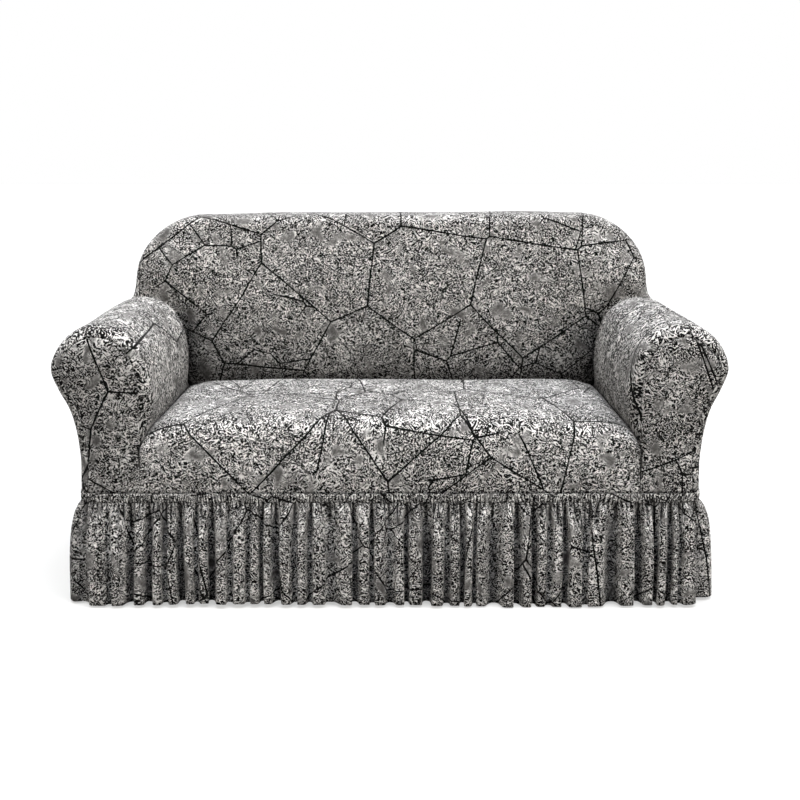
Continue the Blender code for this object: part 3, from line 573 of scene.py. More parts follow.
def slit_rows():
    """The slits between the gathers, under the heading: the place, strength, length and half width of each.
    One starts each fold's valley, and shorter ones stand between them."""
    rng = np.random.RandomState(SLIT_SEED)
    ridges, gaps, valley, deep, _, drift, _, _ = FOLDS
    rows = []
    for i in range(len(ridges)):
        start = ridges[i] + gaps[i] * valley[i]
        stop = ridges[(i + 1) % len(ridges)] + gaps[(i + 1) % len(ridges)] * valley[(i + 1) % len(ridges)]
        run = np.mod(stop - start, WAIST.length)
        strength = min(1.0, 0.6 + 0.6 * deep[i])
        rows.append((start + drift[i], strength, rng.uniform(0.06, 0.12), rng.uniform(0.0034, 0.0050)))
        extra = int(run / SLIT_PITCH)
        for k in range(extra):
            place = start + run * (k + 1.0 + rng.uniform(-0.25, 0.25)) / (extra + 1.0)
            length = 0.012 + 0.050 * rng.uniform(0.0, 1.0) ** 2
            rows.append((place + drift[i], rng.uniform(0.7, 1.0), length, rng.uniform(0.0019, 0.0033)))
    rows = np.array(rows)
    rows[:, 0] = np.mod(rows[:, 0], WAIST.length)
    return rows[np.argsort(rows[:, 0])]


SLITS = slit_rows()


def slits_at(s, down):
    """1 in the middle of a slit to 0 between the slits, at s and down metres below the heading."""
    s = np.mod(s, WAIST.length)
    after = np.searchsorted(SLITS[:, 0], s) % len(SLITS)
    depth = np.zeros_like(s)
    for k in (after, after - 1):
        place, strength, length, half = np.moveaxis(SLITS[k], -1, 0)
        off = np.mod(s - place + 0.5 * WAIST.length, WAIST.length) - 0.5 * WAIST.length
        grown = half * (1.0 + 0.8 * np.minimum(down / length, 1.0))
        here = strength * np.exp(-((off / grown) ** 2)) * np.exp(-((down / length) ** 2))
        depth = np.maximum(depth, here)
    return depth


def wave_at(folds, s):
    """-1 in a fold's valley to 1 on its ridge, scaled by that fold; the fold's own number; its turn; its width;
    and how far its ridge leans aside. The broader a ridge is, the narrower is the valley beside it."""
    ridges, gaps, valley, deep, high, drift, broad, lean = folds
    s = np.mod(s - ridges[0], WAIST.length) + ridges[0]
    i = np.clip(np.searchsorted(ridges, s, side="right") - 1, 0, len(ridges) - 1)
    j = (i + 1) % len(ridges)
    f = (s - ridges[i]) / gaps[i]
    v = valley[i]
    turn = np.where(f < v, f / v, 2.0 - (1.0 - f) / (1.0 - v)) * np.pi
    h = np.cos(turn)
    h = h * (1.25 - 0.25 * h * h)
    h = 1.0 - 2.0 * ((1.0 - h) / 2.0) ** broad[i]
    top = high[i] * (1.0 - f) + high[j] * f
    up = (h + 1.0) / 2.0
    own = drift[i] * (1.0 - f) + drift[j] * f
    aside = np.where(f < v, lean[i], lean[j]) * up
    return up * top - (1.0 - up) * deep[i], own, turn, gaps[i], aside


def grown(down, over):
    """0 at the heading and nearly 1 once well over that far down."""
    return 1.0 - np.exp(-down / over)


def faded(down, over):
    """1 at the heading and nearly 0 once well over that far down."""
    return np.exp(-down / over)


def fold_shade_mask(down, wave, turn, drift, tiny, slit):
    """How deep each point of the skirt lies in its fold, as a mask for its painted shade: 1 at the bottom, 0
    outside, less on a crest and up to 1.4 in a slit. The painted shade is darkest along a fold's valley, and
    also lies on its right flank."""
    grow = grown(down, FOLD_GROWS)
    shady = 0.5 + 80.0 * drift
    deep = 0.95 * smooth(-0.10, -1.0, wave) * grow
    deep = np.maximum(deep, smooth(0.12, 0.50, np.sin(turn)) * (0.50 + 0.28 * shady) * grow)
    crest = np.clip(0.5 + 0.6 * tiny, 0.0, 1.0) * faded(down, 0.012) + 0.5 * smooth(0.3, 1.0, wave)
    deep = deep - 0.5 * np.clip(crest, 0.0, 1.0) * (1.0 - np.minimum(deep * 2.0, 1.0))
    deep = np.maximum(deep, pucker_depth(tiny) * faded(down, 0.009))
    return np.maximum(deep, 1.4 * slit ** 0.75)


def pucker_depth(tiny):
    """How deep a point lies between the puckers, from their wave there."""
    return np.clip(0.5 - 0.6 * tiny, 0.0, 0.9)


def skirt_points(s, down, sizes):
    """The skirt's outer face at s round the waist and down metres below the heading, and how deep each point
    lies in its fold, which sets its painted light and shade."""
    s, down = np.broadcast_arrays(np.asarray(s, float), np.asarray(down, float))
    share = down / SKIRT_DROP
    drift = wave_at(FOLDS, s)[1]
    sway = SKIRT_SWAY * np.sin(23.0 * s + 9.0 * down) * np.sin(np.pi * share)
    wave, _, turn, gap, aside = wave_at(FOLDS, s - drift * (1.0 - share) + sway)
    grow = grown(down, FOLD_GROWS)
    size = SKIRT_WAVE_TOP + (SKIRT_WAVE - SKIRT_WAVE_TOP) * grow
    fine, last, _, _, _ = wave_at(GATHERS, s + 0.3 * drift)
    fine_size = sizes.gather_height * grown(down, GATHER_GROWS) * faded(down, GATHER_FADES * last)
    tiny = wave_at(PUCKERS, s)[0]
    tiny_size = PUCKER_TOP + PUCKER_SWELL * grown(down, PUCKER_GROWS) * faded(down, PUCKER_SETTLES)
    tiny_size = tiny_size * faded(down, PUCKER_FADES)
    puff = sizes.puff * grown(down, PUFF_GROWS) * faded(down, PUFF_FADES)
    out = SKIRT_SPRING * grown(down, SPRING_GROWS) + SKIRT_SLOPE * down + puff
    ripple = SKIRT_RIPPLE * np.sin(61.0 * s + 21.0 * down + 3.0 * np.sin(17.0 * s)) * grow
    out = out + wave * size + fine * fine_size + tiny * tiny_size + ripple
    slit = slits_at(s, down)
    sunk = -sizes.slit_depth * (1.0 - 0.8 * faded(down, SLIT_OPENS))
    out = out + slit * np.minimum(sunk - out, 0.0) * 0.9
    # Each fold bulges sideways and leans, so that its valley is pinched.
    slide = sizes.fold_pinch * gap * grow * (np.sin(2.0 * turn) * 0.55 + np.sin(turn) * 0.45)
    slide = slide + aside * gap * grow
    deep = fold_shade_mask(down, wave, turn, drift, tiny, slit)
    x, t, nx, nt = WAIST.at(s)
    tx, tt = -nt, nx
    s_level = np.mod(s + 1.2, WAIST.length) - 1.2
    level = np.interp(s_level, HEM_LEVEL[:, 0], HEM_LEVEL[:, 1], period=WAIST.length)
    z = BASE_Z - BAND_HEIGHT - down
    z = z + share * (HEM_LIFT + level)
    return np.stack((x + nx * out + tx * slide, t + nt * out + tt * slide, z), -1), deep


def heading_points(s, drop, sizes):
    """The heading's outer face at s round the waist and drop from 0 (top stitches) to 1 (lower stitches), and
    how deep each point lies between its puckers or in a slit, 0 to 1, which sets its painted light and shade."""
    s, drop = np.broadcast_arrays(np.asarray(s, float), np.asarray(drop, float))
    tiny = wave_at(PUCKERS, s + 0.0016 * np.sin(4.0 * drop + 40.0 * s))[0]
    fine = wave_at(GATHERS, s + 0.004 * (drop - 0.5))[0]
    loose = smooth(0.0, 0.12, drop)
    loose = loose * (1.0 - 0.65 * smooth(0.85, 1.0, drop))
    out = BAND_PROUD - 0.0006 + 0.0010 * np.sin(np.pi * drop)
    out = out + loose * (tiny * sizes.pucker_height + fine * 0.6 * sizes.pucker_height)
    slit = slits_at(s, 0.0 * s) * smooth(0.45, 1.0, drop)
    out = out - 0.2 * sizes.slit_depth * slit
    deep = np.maximum(pucker_depth(tiny) * smooth(0.0, 0.25, drop), slit)
    x, t, nx, nt = WAIST.at(s)
    top = BASE_Z - SEAM_GAP / 2.0
    foot = BASE_Z - BAND_HEIGHT + SEAM_GAP / 2.0
    return np.stack((x + nx * out, t + nt * out, top + (foot - top) * drop), -1), deep


def settle_on_waist(points):
    """Brings the body's lower edge onto the waist line, fading out up the cloth."""
    s = np.linspace(0.0, WAIST.length, WAIST_CHECKS, endpoint=False)
    px, pt, nx, nt = WAIST.at(s)
    tree = KDTree(len(s))
    for k in range(len(s)):
        tree.insert((px[k], pt[k], 0.0), k)
    tree.balance()
    low = np.where(points[:, 2] < BASE_Z + SETTLE_HEIGHT)[0]
    keep = 1.0 - smooth(BASE_Z, BASE_Z + SETTLE_HEIGHT, points[low, 2])
    for i, share in zip(low, keep):
        x, t = points[i, 0], points[i, 1]
        k = tree.find((x, t, 0.0))[1]
        off = (x - px[k]) * nx[k] + (t - pt[k]) * nt[k]
        points[i, 0] = x - nx[k] * off * share
        points[i, 1] = t - nt[k] * off * share
    return points


def uneven(points):
    """The small unevenness of stretched cloth, in and out of its own surface."""
    x, t, z = points.T
    bump = 0.0016 * np.sin(9.0 * x + 1.3 + 3.0 * np.sin(5.0 * z)) * np.sin(11.0 * z + 4.0 * t)
    bump += 0.0012 * np.sin(17.0 * x - 6.0 * z + 0.6) * np.sin(13.0 * t + 2.0)
    return bump * smooth(BASE_Z, BASE_Z + 0.06, z)


def creased(points):
    """How far the listed creases sink each point."""
    sunk = np.zeros(len(points))
    for x1, t1, z1, x2, t2, z2, wide, deep in CREASES:
        a = np.array((x1, t1, z1))
        d = np.array((x2, t2, z2)) - a
        s = np.clip((points - a) @ d / (d @ d), 0.0, 1.0)
        off = np.linalg.norm(points - a - s[:, None] * d, axis=1)
        sunk += deep * np.exp(-((off / wide) ** 2)) * (1.0 - 0.75 * s)
    return sunk


def line_distance(line, x, z):
    """The least distance from each (x, z) to a line of points."""
    best = np.full(np.shape(x), 9.0)
    for (ax, az), (bx, bz) in zip(line[:-1], line[1:]):
        dx, dz = bx - ax, bz - az
        s = np.clip(((x - ax) * dx + (z - az) * dz) / max(dx * dx + dz * dz, 1e-12), 0.0, 1.0)
        best = np.minimum(best, np.hypot(ax + s * dx - x, az + s * dz - z))
    return best


def run_of(points):
    """How far along the line of points each one lies."""
    return np.concatenate(((0.0,), np.cumsum(np.linalg.norm(np.diff(points, axis=0), axis=1))))


def even_steps(path, low, high, count):
    """count + 1 values from low to high at which the path's points are equally far apart."""
    v = np.linspace(low, high, PATH_CHECKS)
    run = run_of(path(v))
    return np.interp(np.linspace(0.0, run[-1], count + 1), run, v)


# ---------------------------------------------------------------- making pieces


def cloth_mesh(name, across, along, shape, flat, hollow):
    """A grid of across by along faces, laid over shape(a, b), with flat(a, b) as its UV map in metres.
    a and b run 0 to 1 over the grid. hollow is a place (x, t, z) on the side that its back faces."""
    bm = bmesh.new()
    bmesh.ops.create_grid(bm, x_segments=across, y_segments=along, size=0.5)
    mesh = bpy.data.meshes.new(name)
    bm.to_mesh(mesh)
    bm.free()
    a, b = grid_places(mesh)
    place_points(mesh, shape(a, b))
    if facing(mesh, hollow) < 0.0:
        mesh.flip_normals()
    corner = np.empty(len(mesh.loops), np.int32)
    mesh.loops.foreach_get("vertex_index", corner)
    layer = mesh.uv_layers.new(name="cloth")
    layer.data.foreach_set("uv", flat(a, b)[corner].astype(np.float32).ravel())
    mesh.shade_smooth()
    return mesh, a, b


def grid_places(mesh):
    """Where each point lies on its flat grid, 0 to 1 both ways."""
    co = np.empty(len(mesh.vertices) * 3, np.float32)
    mesh.vertices.foreach_get("co", co)
    co = co.reshape(-1, 3).astype(float)
    return co[:, 0] + 0.5, co[:, 1] + 0.5


def place_points(mesh, points):
    """Puts the mesh's points at those places (x, t, z), in the frame's own coordinates."""
    mesh.vertices.foreach_set("co", (points + SHIFT).astype(np.float32).ravel())
    mesh.update()


def normals_of(mesh):
    """The direction in which each point of the mesh faces."""
    normals = np.empty(len(mesh.vertices) * 3, np.float32)
    mesh.vertex_normals.foreach_get("vector", normals)
    return normals.reshape(-1, 3).astype(float)


def facing(mesh, hollow):
    """Above 0 where the faces look away from that place, on the whole."""
    middle = Vector(np.array(hollow) + SHIFT)
    return sum(p.normal.dot((p.center - middle).normalized()) * p.area for p in mesh.polygons)


def mark(mesh, name, values):
    """Gives each point a value of that name, which its material reads."""
    mesh.attributes.new(name, "FLOAT", "POINT").data.foreach_set("value", values.astype(np.float32))


def nook_shade(points):
    """Painted shade: how bright the back and the inner arms stay in the corners between them and the seat."""
    x, t, z = points.T
    near_seat = np.exp(-np.maximum(z - 0.44, 0.0) / 0.10)
    near_arm = np.exp(-np.abs(0.61 - np.abs(x)) / 0.06) * smooth(0.74, 0.62, z)
    near_back = np.exp(-np.maximum(back_face_t(z) - t, 0.0) / 0.09)
    shade = (1.0 - 0.65 * near_seat * near_back) * (1.0 - 0.60 * near_arm * near_back)
    return shade * (1.0 - 0.45 * near_seat * near_arm)


def front_shade(points):
    """Painted shade: how bright the arm fronts stay below the roll of their top edge. The left one is darker
    there all across, and the right one low down beside the seat.
    """
    x, _, z = points.T
    shade = 1.0 - np.where(x < 0.0, 0.22, 0.0) * smooth(0.70, 0.655, z)
    return shade * (1.0 - 0.16 * smooth(0.0, 0.6, x) * np.exp(-np.abs(x - 0.637) / 0.06) * smooth(0.50, 0.44, z))


def crevice(points):
    """How wide the painted shadow of the crevice round the seat is at each point: 1 down the front, where it fades
    out, more between seat and arm, and 0 elsewhere. The rim of an arm front isn't in it above the seat."""
    x, t, z = points.T
    low = np.where(x > 0.0, smooth(0.29, 0.36, z), smooth(0.345, 0.375, z))
    low = low * (1.0 - smooth(0.06, 0.03, t) * smooth(0.405, 0.435, z)) * (1.0 + 0.9 * smooth(0.02, 0.07, t))
    return low * smooth(0.60, 0.52, z) * smooth(0.68, 0.655, np.abs(x)) * smooth(0.78, 0.75, t)


def body_mesh(name, across, along, shape, flat, hollow, stretch, shading=None):
    """A panel of the stretched body: settled on the waist, a little uneven, creased, its seams marked.
    It lies flat along its seams, and shading(points) tells how bright its cloth stays under painted shade."""

    def settled(a, b):
        return settle_on_waist(shape(a, b))

    mesh, a, b = cloth_mesh(name, across, along, settled, flat, hollow)
    points = settled(a, b)
    place = flat(a, b)
    wide, tall = np.ptp(place[:, 0]), np.ptp(place[:, 1])
    edge = np.minimum(np.minimum(a, 1.0 - a) * wide, np.minimum(b, 1.0 - b) * tall)
    out = uneven(points) * smooth(0.0, UNEVEN_FROM, edge) * stretch.unevenness
    out = out - creased(points) * smooth(0.0, SEAM_FLAT, edge) * stretch.crease_depth
    place_points(mesh, points + normals_of(mesh) * out[:, None])
    shade = shading(points) if shading else np.full(len(b), 1.0)
    # Painted shade darkens the creases, the deeper the darker.
    shade = shade * (1.0 - 0.7 * np.clip(creased(points) / 0.004, 0.0, 1.0) * smooth(0.0, SEAM_FLAT, edge))
    mark(mesh, "seam", edge)
    mark(mesh, "shade", shade)
    mark(mesh, "crevice", crevice(points))
    return mesh


def close_poles(mesh):
    """Merges the points of a grid that meet in one place."""
    bm = bmesh.new()
    bm.from_mesh(mesh)
    bmesh.ops.remove_doubles(bm, verts=bm.verts[:], dist=MERGE_DISTANCE)
    bmesh.ops.dissolve_degenerate(bm, edges=bm.edges[:], dist=MERGE_DISTANCE)
    bm.to_mesh(mesh)
    bm.free()


def cloth_piece(name, mesh, material, node, thick):
    """The finished piece: a sheet of that thickness, which stands for its CAD node."""
    mesh.materials.append(material)
    piece = bpy.data.objects.new(name, mesh)
    bpy.context.scene.collection.objects.link(piece)
    solidify = piece.modifiers.new("thickness", "SOLIDIFY")
    solidify.thickness = thick
    solidify.offset = -1.0
    solidify.use_quality_normals = False
    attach(piece, "root")
    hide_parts(node)
    return piece


def pick(values, a):
    """The values read at a, which runs 0 to 1 over them."""
    return np.interp(a, np.linspace(0.0, 1.0, len(values)), values)


class Net:
    """Where the stretched body's panels put their rows and columns, so that neighbours share their edges."""

    def __init__(self, step):
        def count(path, low, high):
            return int(math.ceil(run_of(path(np.linspace(low, high, RUN_CHECKS)))[-1] / step))

        def seat_across(u):
            return seat_points(u, MIDDLE_ROW)

        def seat_front(v):
            return seat_points(0.0, v)

        def arm_crest(v):
            return arm_points(CREST_COL, v)

        def arm_round(w):
            return arm_points(w, MIDDLE_ROW)

        half = even_steps(seat_across, 0.0, 1.0, count(seat_across, 0.0, 1.0))
        self.seat_u = np.concatenate((-half[:0:-1], half))
        front = even_steps(seat_front, 0.0, NOTCH_ROW, count(seat_front, 0.0, NOTCH_ROW))
        self.joined_v = even_steps(arm_crest, NOTCH_ROW, LAST_ROW, count(arm_crest, NOTCH_ROW, LAST_ROW))
        self.seat_v = np.concatenate((front[:-1], self.joined_v))
        self.arm_w = even_steps(arm_round, 0.0, LAST_COL, count(arm_round, 0.0, LAST_COL))
        # The rows up the back's face, round its edge, over the top and round the rear edge, and down the rear.
        face, edge, top, rear, drop = (int(length / step) for length in BACK_RUNS)
        self.back_r = np.concatenate((
            FACE_SHARE * np.linspace(0.0, 1.0, face + 1) ** 0.9,
            np.linspace(FACE_SHARE, 1.0, edge + 1)[1:],
            np.linspace(1.0, 2.0, top + 1)[1:],
            np.linspace(2.0, 3.0, rear + 1)[1:],
        ))
        self.outer_q = even_steps(lambda q: np.stack(back_outline(q, 1.0), -1), 3.0, 1.0, drop)


def seat_shape(net):
    """The seat's shape and its flat cloth: each gives its points at a across and b along."""

    def shape(a, b):
        return seat_points(pick(net.seat_u, a), pick(net.seat_v, b))

    middle = seat_points(0.0, net.seat_v)
    rows = run_of(middle)
    # The seat's top is stretched most, from front to back.
    pulled = 1.0 - SEAT_PULL * smooth(0.44, 0.463, middle[:, 2])
    steps = np.diff(rows) * 0.5 * (pulled[1:] + pulled[:-1])
    rows = rows[0] + np.concatenate(((0.0,), np.cumsum(steps)))
    across = seat_points(net.seat_u, MIDDLE_ROW)[:, 0]

    def flat(a, b):
        return np.stack((pick(across, a), pick(rows, b)), -1)

    return shape, flat


def arm_shape(net, side):
    """An arm panel's shape and its flat cloth; side is 1 for the right arm and -1 for the left."""
    edge = seat_points(1.0, net.joined_v)
    last = len(net.joined_v) - 1

    def shape(a, b):
        w, v = pick(net.arm_w, a), pick(net.joined_v, b)
        points = arm_points(w, v)
        first = a < NEAR_ZERO
        points[first] = edge[np.round(b[first] * last).astype(int)]
        points[:, 0] *= side
        return points

    around = run_of(arm_points(net.arm_w, MIDDLE_ROW))
    along = run_of(arm_points(CREST_COL, net.joined_v))

    def flat(a, b):
        return np.stack((side * pick(around, a), pick(along, b)), -1)

    return shape, flat


def arm_front_shape(net, side):
    """An arm front's shape and its flat cloth: level rows fill it between its inner and its outer edge."""
    seat_edge = seat_points(1.0, net.seat_v[net.seat_v < NOTCH_ROW])
    roll = arm_points(net.arm_w, NOTCH_ROW)
    roll[0] = seat_points(1.0, NOTCH_ROW)
    top = int(np.argmax(roll[:, 2]))
    inner = np.concatenate((seat_edge, roll[:top + 1]))
    outer = roll[:top - 1:-1]
    line = [(p[0], p[2]) for p in np.concatenate((seat_edge, roll))]

    def edge_at(edge, z):
        return np.interp(z, edge[:, 2], edge[:, 0]), np.interp(z, edge[:, 2], edge[:, 1])

    def shape(a, b):
        z = BASE_Z + (roll[top, 2] - BASE_Z) * np.sin(0.5 * np.pi * b)
        x_in, t_in = edge_at(inner, z)
        x_out, t_out = edge_at(outer, z)
        x = x_in + (x_out - x_in) * a
        t = t_in + (t_out - t_in) * a
        near = np.clip(line_distance(line, x, z) / ARM_DOME_RUN, 0.0, 1.0)
        return np.stack((side * x, t - ARM_DOME * (1.0 - (1.0 - near) ** 2), z), -1)

    def flat(a, b):
        points = shape(a, b)
        return points[:, (0, 2)]

    return shape, flat


def back_inner_shape(net):
    """The shape and the flat cloth of the back's face, top and sides, and how many columns they have. The
    columns start behind the arms and along the seat."""
    outline = arm_outline(net.arm_w, np.full(len(net.arm_w), float(LAST_ROW)))
    roll = arm_points(net.arm_w, LAST_ROW)
    roll[0] = seat_points(1.0, LAST_ROW)
    seat = seat_points(net.seat_u, LAST_ROW)
    left = roll[:0:-1] * (-1.0, 1.0, 1.0)
    start = np.concatenate((left, seat, roll[1:]))
    q = np.concatenate((outline[:0:-1, 2], np.abs(net.seat_u) * ARM_OUTLINE[0, 2], outline[1:, 2]))
    fade = np.concatenate((outline[:0:-1, 3], np.zeros(len(seat)), outline[1:, 3]))
    last = len(start) - 1

    def both(a, b):
        i = np.round(a * last).astype(int)
        side = np.where(start[i, 0] < 0.0, -1.0, 1.0)
        half = start[i] * np.stack((side, np.ones(len(i)), np.ones(len(i))), -1)
        points, place = back_points(half, q[i], fade[i], side, pick(net.back_r, b))
        points[:, 0] *= side
        place[:, 0] *= side
        first = b < NEAR_ZERO
        points[first] = start[i[first]]
        return points, place

    return lambda a, b: both(a, b)[0], lambda a, b: both(a, b)[1], last


def back_outer_shape(net):
    """The shape and the flat cloth of the plain panel over the rear."""
    q = net.outer_q
    ones = np.ones(len(q))
    rim, _ = back_points(np.stack((ones, ones, ones), -1), q, ones, ones, 3.0 * ones)
    _, outline_z = back_outline(q, ones)
    line = [(p[0], p[2]) for p in rim] + [(-p[0], p[2]) for p in rim[::-1]]

    def shape(a, b):
        x = (2.0 * a - 1.0) * pick(rim[:, 0], b)
        sag = top_sag(-x, pick(q, b))
        z = pick(rim[:, 2], b) - sag
        inside = line_distance(line, x, z)
        t = back_rear_t(pick(outline_z, b) - sag) + REAR_SWELL * smooth(0.0, 0.25, inside)
        return np.stack((x, t, z), -1)

    def flat(a, b):
        return shape(a, b)[:, (0, 2)] * (-1.0, 1.0)

    return shape, flat


def piece_ends():
    """Where the four skirt widths and the four heading strips meet: in the valley nearest each corner."""
    ridges, gaps, valley = FOLDS[:3]
    valleys = ridges + gaps * valley
    rear = WAIST.starts[3] + 0.5 * WAIST.lengths[3]
    rear_left = WAIST.starts[5] + 0.5 * WAIST.lengths[5]
    wanted = (valleys[len(FRONT_RIDGES) - 1], rear, rear_left, valleys[-1])
    return [float(valleys[int(np.argmin(np.abs(valleys - w)))]) for w in wanted]


def spans():
    """Each side's name and where it starts and stops round the waist."""
    ends = piece_ends()
    return (
        ("front", ends[3] - WAIST.length, ends[0]),
        ("right", ends[0], ends[1]),
        ("back", ends[1], ends[2]),
        ("left", ends[2], ends[3]),
    )


def gathered_run(line, start, stop):
    """s from start to stop, and how much cloth is gathered into the line of points up to each of them."""
    s = np.linspace(start, stop, int((stop - start) / GATHER_CHECK))
    return s, run_of(line(s))


def heading_mesh(sizes, start, stop, hollow):
    """One side's heading strip, and the length of the cloth that is gathered into it."""
    s_run, cloth_run = gathered_run(lambda s: heading_points(s, 0.5, sizes)[0], start, stop)
    gap = 0.5 * SEAM_GAP

    def shaped(a, b):
        return heading_points(start + gap + a * (stop - start - 2.0 * gap), b, sizes)

    def flat(a, b):
        s = start + a * (stop - start)
        return np.stack((np.interp(s, s_run, cloth_run), -BAND_HEIGHT * b), -1)

    across = int((stop - start) / sizes.heading_step)
    mesh, a, b = cloth_mesh("heading", across, HEADING_ROWS, lambda a, b: shaped(a, b)[0], flat, hollow)
    # How deep each point lies, which sets the heading's painted light and shade.
    mark(mesh, "deep", shaped(a, b)[1])
    return mesh, float(cloth_run[-1])


def skirt_mesh(sizes, start, stop, hollow):
    """One side's skirt width, the length of the cloth that is gathered into it, and how far down each point is."""
    s_run, cloth_run = gathered_run(lambda s: skirt_points(s, 0.5 * SKIRT_DROP, sizes)[0], start, stop)
    gap = 0.5 * SEAM_GAP

    def down_at(b):
        # The rows stand closest under the heading, where the gathers are finest.
        return gap + (SKIRT_DROP - gap) * (0.45 * b + 0.55 * b * b)

    def shaped(a, b):
        return skirt_points(start + gap + a * (stop - start - 2.0 * gap), down_at(b), sizes)

    def flat(a, b):
        s = start + a * (stop - start)
        return np.stack((np.interp(s, s_run, cloth_run), -BAND_HEIGHT - down_at(b)), -1)

    across = int((stop - start) / sizes.skirt_step)
    mesh, a, b = cloth_mesh("skirt", across, SKIRT_ROWS, lambda a, b: shaped(a, b)[0], flat, hollow)
    # How deep each point lies in its fold, which sets the skirt's painted light and shade.
    mark(mesh, "deep", shaped(a, b)[1])
    return mesh, float(cloth_run[-1]), down_at(b)


# ---------------------------------------------------------------- finishes, with their painted light and shade


class Wiring:
    """Adds nodes to a tree and joins them up."""

    def __init__(self, tree):
        self.tree = tree

    def node(self, kind, settings=None, **inputs):
        """A new node with those settings; an input is a plain value or the socket that feeds it."""
        made = self.tree.nodes.new(kind)
        for key, value in (settings or {}).items():
            setattr(made, key, value)
        for key, value in inputs.items():
            self.feed(made, key.replace("_", " "), value)
        return made

    def feed(self, made, key, value):
        """Feeds an input of the node, from a socket or with a plain value."""
        socket = made.inputs[key]
        if isinstance(value, bpy.types.NodeSocket):
            self.tree.links.new(value, socket)
        else:
            socket.default_value = value

    def math(self, operation, *values):
        """The result of that operation on sockets or plain numbers."""
        made = self.tree.nodes.new("ShaderNodeMath")
        made.operation = operation
        for k, value in enumerate(values):
            self.feed(made, k, value)
        return made.outputs[0]

    def steps(self, value, low, high, at_low, at_high):
        """A smooth change from at_low to at_high as the value goes from low to high."""
        made = self.node("ShaderNodeMapRange", {"interpolation_type": "SMOOTHSTEP"}, Value=value)
        for key, number in (("From Min", low), ("From Max", high), ("To Min", at_low), ("To Max", at_high)):
            self.feed(made, key, number)
        return made.outputs["Result"]

    def scaled(self, vector, by):
        """The colour or vector, made larger or smaller by that number."""
        made = self.node("ShaderNodeVectorMath", {"operation": "SCALE"})
        self.feed(made, 0, vector)
        self.feed(made, "Scale", by)
        return made.outputs[0]

    def attribute(self, name):
        """The value of that name that each point of the mesh was given."""
        made = self.node("ShaderNodeAttribute", {"attribute_name": name, "attribute_type": "GEOMETRY"})
        return made.outputs["Fac"]

    def cloth_place(self):
        """The place on the flat cloth, in metres."""
        return self.node("ShaderNodeUVMap", {"uv_map": "cloth"}).outputs["UV"]

    def noise(self, vector, scale, detail=2.0, roughness=0.5, distortion=0.0):
        """A cloudy noise from 0 to 1, with about that many clouds a metre."""
        made = self.node(
            "ShaderNodeTexNoise", {"noise_dimensions": "2D"},
            Vector=vector, Scale=scale, Detail=detail, Roughness=roughness, Distortion=distortion,
        )
        return made.outputs["Fac"]

    def moved(self, vector, x, y, turn=0.0, wide=1.0, tall=1.0):
        """The vector moved, turned and scaled, so that a pattern starts elsewhere or lies another way."""
        made = self.node("ShaderNodeMapping", Vector=vector)
        made.inputs["Location"].default_value = (x, y, 0.0)
        made.inputs["Rotation"].default_value = (0.0, 0.0, turn)
        made.inputs["Scale"].default_value = (wide, tall, 1.0)
        return made.outputs["Vector"]

    def mix(self, share, first, second):
        """The first colour where share is 0, the second where it is 1."""
        made = self.node("ShaderNodeMix", {"data_type": "RGBA"})
        for key, value in ((0, share), (6, first), (7, second)):
            self.feed(made, key, value)
        return made.outputs[2]

    def warped(self, vector, scale, by):
        """The vector, moved about by up to half of by."""
        noise = self.node(
            "ShaderNodeTexNoise", {"noise_dimensions": "2D"}, Vector=vector, Scale=scale, Detail=1.0,
        )
        centred = self.node("ShaderNodeVectorMath", {"operation": "SUBTRACT"})
        self.feed(centred, 0, noise.outputs["Color"])
        self.feed(centred, 1, (0.5, 0.5, 0.5))
        total = self.node("ShaderNodeVectorMath", {"operation": "ADD"})
        self.feed(total, 0, vector)
        self.feed(total, 1, self.scaled(centred.outputs[0], by))
        return total.outputs[0]


def new_group(name, inputs, outputs):
    """An empty node group with those sockets, and its wiring."""
    group = bpy.data.node_groups.new(name, "ShaderNodeTree")
    for kind, side in ((inputs, "INPUT"), (outputs, "OUTPUT")):
        for socket, socket_type in kind:
            group.interface.new_socket(name=socket, in_out=side, socket_type=socket_type)
    wiring = Wiring(group)
    return group, wiring, group.nodes.new("NodeGroupInput"), group.nodes.new("NodeGroupOutput")


def crack_lines(w, vector, cell, line):
    """Thin straight lines round cells of very uneven size: 1 on a line, 0 off it."""
    size = w.math("DIVIDE", 1.0, cell)
    bent = w.warped(vector, 5.0, 0.010)

    def cells(place, scale, feature):
        """A node of uneven cells, about that many a metre."""
        return w.node(
            "ShaderNodeTexVoronoi", {"voronoi_dimensions": "2D", "feature": feature},
            Vector=place, Scale=scale, Randomness=0.9,
        )

    # Half of the cells, and there only in some areas, are split by the edges of smaller ones.
    shade = w.node("ShaderNodeSeparateColor", Color=cells(bent, size, "F1").outputs["Color"])
    split = w.math("GREATER_THAN", shade.outputs[0], 0.50)
    small_size = w.math("MULTIPLY", size, 1.7)
    aside = w.moved(bent, 3.7, 1.9)
    uneven_line = w.math("MULTIPLY", line, w.steps(w.noise(vector, 26.0), 0.35, 0.65, 0.75, 1.25))
    soft = w.math("ADD", uneven_line, LINE_SOFTNESS)
    big_away = w.math("DIVIDE", cells(bent, size, "DISTANCE_TO_EDGE").outputs["Distance"], size)
    small_edge = cells(aside, small_size, "DISTANCE_TO_EDGE").outputs["Distance"]
    small_away = w.math("DIVIDE", small_edge, small_size)
    kept = w.steps(w.noise(w.moved(vector, 5.1, 8.2), 2.6, 1.0), 0.47, 0.49, 0.0, 1.0)
    first = w.steps(big_away, uneven_line, soft, 1.0, 0.0)
    second = w.math("MULTIPLY", w.steps(small_away, uneven_line, soft, 1.0, 0.0), split)
    second = w.math("MULTIPLY", second, kept)
    return w.math("MAXIMUM", first, second)


